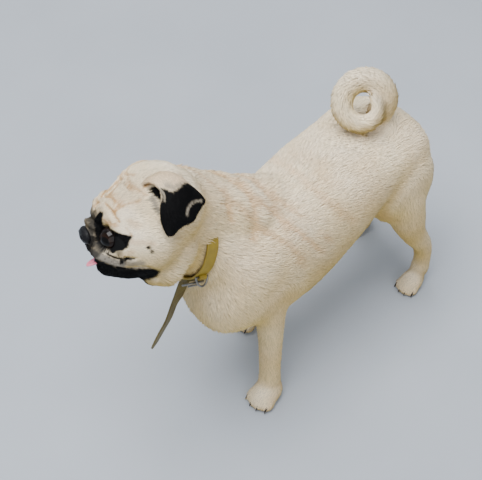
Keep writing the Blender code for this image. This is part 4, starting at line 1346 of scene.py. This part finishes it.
# Finishes of two close colours: those, then the scale and detail of their drift, the grain that
# catches light (its node and values, then the bump's strength and depth), and the constants
GRAINED = {
    # moist nose leather: black, pebbled about half a millimetre wide, with a soft wet shine
    "moist_nose_leather": (
        ("070708", "17171A"), (300.0, 2.0), ("ShaderNodeTexVoronoi", {"Scale": 1500.0}, 0.5, 0.0004),
        {"Roughness": 0.45, "Specular IOR Level": 0.16},
    ),
    # moist pink flesh with a fine velvety grain
    "moist_tongue": (
        ("E8899B", "D96F86"), (160.0, 2.0),
        ("ShaderNodeTexNoise", {"Scale": 1800.0, "Detail": 3.0}, 0.4, 0.0003),
        {"Roughness": 0.35, "Subsurface Weight": 0.2, "Subsurface Scale": 0.003},
    ),
    # dark horn: near black, browner in drifts where it is worn
    "dark_claw_horn": (("15110F", "3A2D25"), (420.0, 4.0), None, {"Roughness": 0.35}),
    # tanned leather, dyed mustard olive: pores about 0.4 mm, rubbed darker in places
    "mustard_strap_leather": (
        ("A58C1E", "6E5A14"), (90.0, 5.0), ("ShaderNodeTexVoronoi", {"Scale": 1500.0}, 0.35, 0.0003),
        {"Roughness": 0.5},
    ),
    # the same leather where it hangs loose, greyer and darker
    "darker_loose_strap_leather": (
        ("6F6128", "43391B"), (90.0, 5.0), ("ShaderNodeTexVoronoi", {"Scale": 1500.0}, 0.35, 0.0003),
        {"Roughness": 0.5},
    ),
    # pale, quite matt paving in slow patches of two greys
    "pale_paving": (("AEB4BC", "9FA6AF"), (5.0, 6.0), None, {"Roughness": 0.9}),
}


def grained_finish(name):
    """A finish of the table above."""
    colours, (scale, detail), grain, constants = GRAINED[name]
    material, tree, shader = new_material(name)
    place = node(tree, "ShaderNodeTexCoord").outputs["Object"]
    drift = node(tree, "ShaderNodeTexNoise", {"Scale": scale, "Detail": detail, "Vector": place})
    blend = {"data_type": "RGBA", 0: drift.outputs["Fac"], 6: linear(colours[0]), 7: linear(colours[1])}
    tree.links.new(node(tree, "ShaderNodeMix", blend).outputs[2], shader.inputs["Base Color"])
    if grain:
        kind, values, strength, depth = grain
        height = node(tree, kind, {**values, "Vector": place}).outputs[0]
        bump = node(tree, "ShaderNodeBump", {"Strength": strength, "Distance": depth, "Height": height})
        tree.links.new(bump.outputs["Normal"], shader.inputs["Normal"])
    for socket, value in constants.items():
        shader.inputs[socket].default_value = value
    return material


def metal_finish():
    """Nickel-plated steel, dulled and darkened where dirt stays."""
    material, tree, shader = new_material("dull_nickel_steel")
    place = node(tree, "ShaderNodeTexCoord").outputs["Object"]
    grime = node(tree, "ShaderNodeTexNoise", {"Scale": 420.0, "Detail": 5.0, "Vector": place})
    shares = grime.outputs["Fac"]
    blend = {"data_type": "RGBA", 0: shares, 6: linear("3B3A38"), 7: linear("A9A8A4")}
    tree.links.new(node(tree, "ShaderNodeMix", blend).outputs[2], shader.inputs["Base Color"])
    rough = node(tree, "ShaderNodeMapRange", {"To Min": 0.22, "To Max": 0.5, "Value": shares})
    tree.links.new(rough.outputs["Result"], shader.inputs["Roughness"])
    shader.inputs["Metallic"].default_value = 1.0
    return material


# Ears


# The flap's rear lobe bulges past its solid and its tip is blunter: the middle of each change
# in the photograph, its way in the picture, and its reach and length in pixels
EAR_PUSHES = (((192, 219), (0.60, 0.80), 10.0, 5.0), ((171, 240), (-0.3, -1.0), 5.0, 2.2))
# The right ear is the left one's mirror, swung further down by this many degrees
EAR_SWING = 13


def build_ear():
    """The left flap's skin, smooth and thin, with its rolled rear lobe."""
    ear = merged_flesh("ear_skin_left", ["ear_left"], 0.0)
    voxel_skin(ear, EAR_VOXEL)
    mesh = ear.data
    points = relax(points_of(mesh), edges_of(mesh), 6)
    scale = (HEAD_AT - CAMERA_AT).length / FOCAL
    seen = in_picture(points)
    for middle, (right, down), reach, length in EAR_PUSHES:
        push = length * np.exp(-(((seen - middle) / reach) ** 2).sum(1)) * scale
        points = points + push[:, None] * np.array(RIGHT * right - UP * down)
    set_points(mesh, points)
    return ear


def mirror_ear(ear):
    """The right ear, from the left one."""
    other = ear.data.copy()
    other.name = "ear_skin_right"
    swing = Matrix.Rotation(math.radians(-EAR_SWING), 4, "Y")
    other.transform(HEAD @ swing @ Matrix.Diagonal((-1, 1, 1, 1)) @ HEAD_BACK)
    other.flip_normals()
    return new_piece("ear_skin_right", other)


# The black of the flap as the photograph shows it, and the rims that catch light
EAR_BLACK = (
    ((158, 187.5), (161, 193), (161.5, 199), (159, 208), (160, 224), (162, 233), (168, 240),
     (176, 237), (184, 231), (192, 226), (203, 217), (209, 207), (208.5, 199), (203, 192),
     (192, 185), (184, 182), (178, 187.5), (171.4, 191), (165, 188)),
    1.0, 2.4,
)
EAR_EDGE = (((158, 187.5), (162, 191), (164, 195), (164.4, 201)), 1.1, 0.85, 0.1)
EAR_CRESCENT = (((186.6, 214), (188.4, 206), (193.8, 201), (201, 199.8)), 1.7, 0.85, 0.1)
EAR_STREAKS = (((166, 184), (174, 187), (181, 183)), 5.0, 0.7, 0.1)


def ear_markings(points, normals):
    """Black flap, cream at its root, light rims where the edges catch the light."""
    views = Views(points, normals)
    ragged = 0.20 * wobble(points, 0.003, 4) + 0.25 * wobble(points, 0.0012, 5)
    facing = views.views["left"][1]
    places, _, soft = EAR_BLACK
    away = views.shape(places)[0][0]
    black = np.maximum(smooth_step(0.5 - away / soft - ragged), 1 - facing)
    rims = line_weight(views, (EAR_EDGE, EAR_CRESCENT), 0.6 * ragged)
    streaks = line_weight(views, (EAR_STREAKS,), 2.0 * ragged) * (1 - black)
    marks = np.zeros((len(points), 4))
    marks[:, 0] = black * (1 - 0.8 * rims)
    marks[:, 1] = 0.40 * (1 - black)
    marks[:, 2] = np.maximum(0.9 * rims, streaks)
    return np.clip(marks, 0, 1)


# Small pieces of the face


def ball_piece(name, centre, radii, turn, rings):
    """A round blank at its place, ready to be shaped."""
    deselect()
    bpy.ops.mesh.primitive_uv_sphere_add(segments=2 * rings, ring_count=rings, radius=1.0)
    obj = bpy.context.object
    obj.name = name
    obj.data.name = name
    obj.data.transform(Matrix.Translation(centre) @ turn @ Matrix.Diagonal((*radii, 1.0)))
    return obj


def finish_piece(obj, material, slot, *replaced):
    """Smooths the shading, gives the finish, hangs the piece on the root body and hides the parts that it
    replaces.
    """
    only(obj)
    bpy.ops.object.shade_smooth()
    obj.data.materials.clear()
    obj.data.materials.append(material)
    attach(obj, "root")
    if replaced:
        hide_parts(*replaced)
    return obj


def build_eye(side, material):
    word = "left" if side > 0 else "right"
    centre = eye_centre(side)
    ahead, across, up = eye_frame(side)
    turn = Matrix((across, up, ahead)).transposed().to_4x4()
    eye = ball_piece("eyeball_" + word, centre, (EYE_RADIUS,) * 3, turn, 40)
    points = points_of(eye.data)
    away = points - np.array(centre)
    front = unit(away) @ np.array(ahead)
    bulge = smooth_step((front - 0.80) / 0.20) * 0.0006
    set_points(eye.data, points + unit(away) * bulge[:, None])
    angle = np.degrees(np.arccos(np.clip(front, -1, 1)))
    set_markings(eye.data, "markings", np.clip(angle / 75.0, 0, 1)[:, None])
    finish_piece(eye, material, "eye", "eye_" + word)


def build_nose(material):
    """The nose: a broad pad with two comma-shaped nostrils and a groove down its middle."""
    turn = HEAD.to_3x3().to_4x4()
    nose = ball_piece("nose_pad", on_head(*NOSE_AT), NOSE_RADII, turn, 48)
    mesh = nose.data
    points = points_of(mesh)
    local = in_head(points) - np.array(NOSE_AT)
    x, y, z = local[:, 0], local[:, 1], local[:, 2]
    ahead = smooth_step((y + 1.0) / 3.0)
    push = np.zeros(len(points))
    for sign in (1, -1):
        off = x - sign * 5.6
        nostril = np.sqrt((off / 2.5) ** 2 + ((z - 0.3 - 0.12 * sign * off) / 2.0) ** 2)
        push -= 3.4 * (1 - smooth_step((nostril - 0.35) / 0.75))
        slit = np.sqrt(((x - sign * 8.6) / 3.2) ** 2 + ((z + 1.0 + 0.35 * (sign * x - 8.6)) / 1.0) ** 2)
        push -= 1.6 * (1 - smooth_step((slit - 0.3) / 0.8))
        wing = np.sqrt(((x - sign * 7.4) / 3.6) ** 2 + ((z - 3.2) / 2.4) ** 2)
        push += 0.8 * (1 - smooth_step(wing))
    push -= 1.0 * np.exp(-((x / 0.9) ** 2)) * smooth_step((1.5 - z) / 3)
    forward = np.array(head_direction(0, 1, 0))
    set_points(mesh, points + forward * (push * ahead / 1000)[:, None])
    finish_piece(nose, material, "nose_leather", "nose")


TONGUE_AT = (2.5, 53.5, -37.0)


def build_tongue(material):
    """Tip of the tongue, cupped along its middle."""
    centre = on_head(*TONGUE_AT)
    turn = HEAD.to_3x3().to_4x4() @ Matrix.Rotation(math.radians(12), 4, "X")
    tongue = ball_piece("tongue_tip", centre, (0.0075, 0.0102, 0.0019), turn, 28)
    mesh = tongue.data
    points = points_of(mesh)
    local = in_head(points) - np.array(TONGUE_AT)
    cup = -0.9 * np.exp(-((local[:, 0] / 1.7) ** 2)) * smooth_step((local[:, 1] + 6) / 8)
    edge = 0.5 * (np.abs(local[:, 0]) / 7.5) ** 2
    set_points(mesh, points + np.array(head_direction(0, 0, 1)) * ((cup + edge) / 1000)[:, None])
    finish_piece(tongue, material, "tongue_flesh", "tongue")


# Where each paw stands, its turn in degrees and its size
PAWS = {
    "front_left": ((0.06055, -0.07621), 6, 1.0),
    "front_right": ((-0.04545, -0.01021), -6, 1.0),
    "hind_left": ((0.06255, 0.19279), 6, 0.86),
    "hind_right": ((-0.06345, 0.21779), -8, 0.86),
}
TOE_SIDES = (-1.5, -0.5, 0.5, 1.5)
TOE_SPREAD = 0.0098
TOE_REACH = 0.0190
TOE_STEP = 0.0044
# A claw from its root: out in front, height and radius, then its corners round and its flatness
CLAW_ROWS = (
    (0.000, 0.0096, 0.0023), (0.0045, 0.0092, 0.0022), (0.0080, 0.0066, 0.0015), (0.0096, 0.0040, 0.0005),
)
CLAW_CORNERS = 10
CLAW_FLATNESS = 0.72
CLAW_FAN = 0.12


def build_claws(leg, material):
    """Four curved claws of one paw, thick at the root and worn blunt."""
    (x, y), turn, size = PAWS[leg]
    turned = Matrix.Rotation(math.radians(turn), 4, "Z")
    base = Matrix.Translation((x, y, 0)) @ turned @ Matrix.Scale(size, 4)
    bm = bmesh.new()
    for side in TOE_SIDES:
        reach = TOE_REACH - TOE_STEP * (abs(side) - 0.5)
        rings = []
        rows = smooth_path(CLAW_ROWS, 4)
        for out, height, radius in rows:
            across = side * (TOE_SPREAD + CLAW_FAN * out)
            middle = Vector((across, -reach - out, height))
            ring = []
            for angle in np.linspace(0, 2 * math.pi, CLAW_CORNERS, endpoint=False):
                way = Vector((math.cos(angle) * radius * CLAW_FLATNESS, 0, math.sin(angle) * radius))
                ring.append(bm.verts.new(base @ (middle + way)))
            rings.append(ring)
        for first, second in zip(rings, rings[1:]):
            for i in range(CLAW_CORNERS):
                j = (i + 1) % CLAW_CORNERS
                bm.faces.new((first[i], first[j], second[j], second[i]))
        bm.faces.new(rings[0])
        bm.faces.new(rings[-1])
    bmesh.ops.recalc_face_normals(bm, faces=bm.faces)
    mesh = bpy.data.meshes.new("claws_" + leg)
    bm.to_mesh(mesh)
    bm.free()
    finish_piece(new_piece("claws_" + leg, mesh), material, "coat")


FLOOR_SIZE = 12.0
# Soft lights: place, size and power. All of them aim at the dog's middle
LIGHTS = {
    "key": ((-0.1, -0.5, 2.9), 2.0, 134.0),
    "fill": ((2.2, -0.8, 1.4), 2.4, 29.0),
    "rim": ((-1.8, 1.0, 2.0), 1.8, 16.0),
}
LIGHTS_AIM = Vector((0, 0, 0.2))
SKY = ("E6ECF4", 0.62)


def add_floor_and_light():
    deselect()
    bpy.ops.mesh.primitive_plane_add(size=FLOOR_SIZE)
    floor = bpy.context.object
    floor.name = "floor"
    floor.data.materials.append(grained_finish("pale_paving"))
    for name, (place, size, power) in LIGHTS.items():
        data = bpy.data.lights.new(name, "AREA")
        data.size = size
        data.energy = power
        light = bpy.data.objects.new(name, data)
        turned = (LIGHTS_AIM - Vector(place)).to_track_quat("-Z", "Y").to_matrix().to_4x4()
        light.matrix_world = Matrix.Translation(place) @ turned
        bpy.context.scene.collection.objects.link(light)
    world = bpy.data.worlds.new("studio")
    bpy.context.scene.world = world
    world.use_nodes = True
    background = world.node_tree.nodes["Background"]
    background.inputs["Color"].default_value = linear(SKY[0])
    background.inputs["Strength"].default_value = SKY[1]


def bare_skin(points, normals):
    """Where no coat grows: eyes, nose, soles."""
    bare = np.zeros(len(points), bool)
    for side in (1, -1):
        bare |= lid_ring(points, side)[0] < 1.10
    nose = (in_head(points) - np.array(NOSE_AT)) / np.array(NOSE_BARE)
    bare |= np.linalg.norm(nose, axis=1) < 1
    bare |= (points[:, 2] < 0.0035) & (normals[:, 2] < -0.5)
    return bare


def under_strap(points, route):
    """Where the strap lies on the skin in sight."""
    angle, radius, ahead = in_collar(points)
    rows = route.at(angle)
    near = np.abs(ahead - rows[:, 1]) < STRAP_WIDTH / 2 - 0.0005
    return near & (radius < 0.1) & (rows[:, 3] < 0.45)


def cover_ear(ear, side, word, fur):
    """Fine velvet over an ear, lying towards its tip."""
    mesh = ear.data
    points = points_of(mesh)
    normals = normals_of(mesh)
    marks = np.empty(len(points) * 4, np.float32)
    mesh.attributes["markings"].data.foreach_get("color", marks)
    down = np.array(head_direction(side * 0.35, -0.25, -1.0))
    flow = np.broadcast_to(down, points.shape)
    flow = unit(flow - (flow * normals).sum(1)[:, None] * normals)
    sizes = np.broadcast_to(EAR_COAT, points.shape)
    density = np.full(len(points), EAR_DENSITY)
    field = Field(mesh, flow, sizes, density, marks.reshape(-1, 4))
    GROUPS[7] = "ear_" + word
    grow_coat(field, np.full(len(points), 7), EAR_SEED + side, fur, [])


def main():
    add_camera()
    add_floor_and_light()
    route = StrapRoute()
    skin, face, head = build_skin(route)
    mesh = skin.data
    points = points_of(mesh)
    normals = normals_of(mesh)
    edges = edges_of(mesh)
    owner = owner_of(points)
    kinds = coat_kind(owner, points)
    marks = markings(points, normals, Views(points, normals, head), face)
    set_markings(mesh, "markings", marks)
    ground = skin_finish()
    finish_piece(skin, ground, "coat", *FLESH)

    leather = grained_finish("mustard_strap_leather")
    loose_end_leather = grained_finish("darker_loose_strap_leather")
    metal = metal_finish()
    strap = build_strap(route, leather)
    for name, finish in (("collar_end", loose_end_leather), ("collar_keeper", leather)):
        nodes[name].data.materials.clear()
        nodes[name].data.materials.append(finish)
    for name in ("collar_buckle", "collar_pin", "collar_ring"):
        nodes[name].data.materials.clear()
        nodes[name].data.materials.append(metal)

    sizes = relax(np.array([COAT[kind][1:4] for kind in kinds]), edges, 12)
    density = np.array([COAT[kind][4] for kind in kinds], float)
    density[bare_skin(points, normals) | under_strap(points, route)] = 0
    flow = flow_of(owner, kinds, points, normals, edges)
    field = Field(mesh, flow, sizes, density, marks)
    blockers = [blocker(strap, 0.0003)]
    blockers += [blocker(nodes[n], 0.0006) for n in ("collar_keeper", "collar_end")]
    blockers += [blocker(nodes[n], 0.0008) for n in ("collar_buckle", "collar_ring")]
    fur = tuft_finish()
    grow_coat(field, group_of(owner, points), COAT_SEED, fur, blockers)

    dark = eye_finish()
    for side in (1, -1):
        build_eye(side, dark)
    left = build_ear()
    set_markings(left.data, "markings", ear_markings(points_of(left.data), normals_of(left.data)))
    for side, ear in ((1, left), (-1, mirror_ear(left))):
        word = "left" if side > 0 else "right"
        finish_piece(ear, ground, "black_coat", "ear_" + word)
        cover_ear(ear, side, word, fur)
    build_nose(grained_finish("moist_nose_leather"))
    build_tongue(grained_finish("moist_tongue"))
    horn = grained_finish("dark_claw_horn")
    for leg in PAWS:
        build_claws(leg, horn)


main()
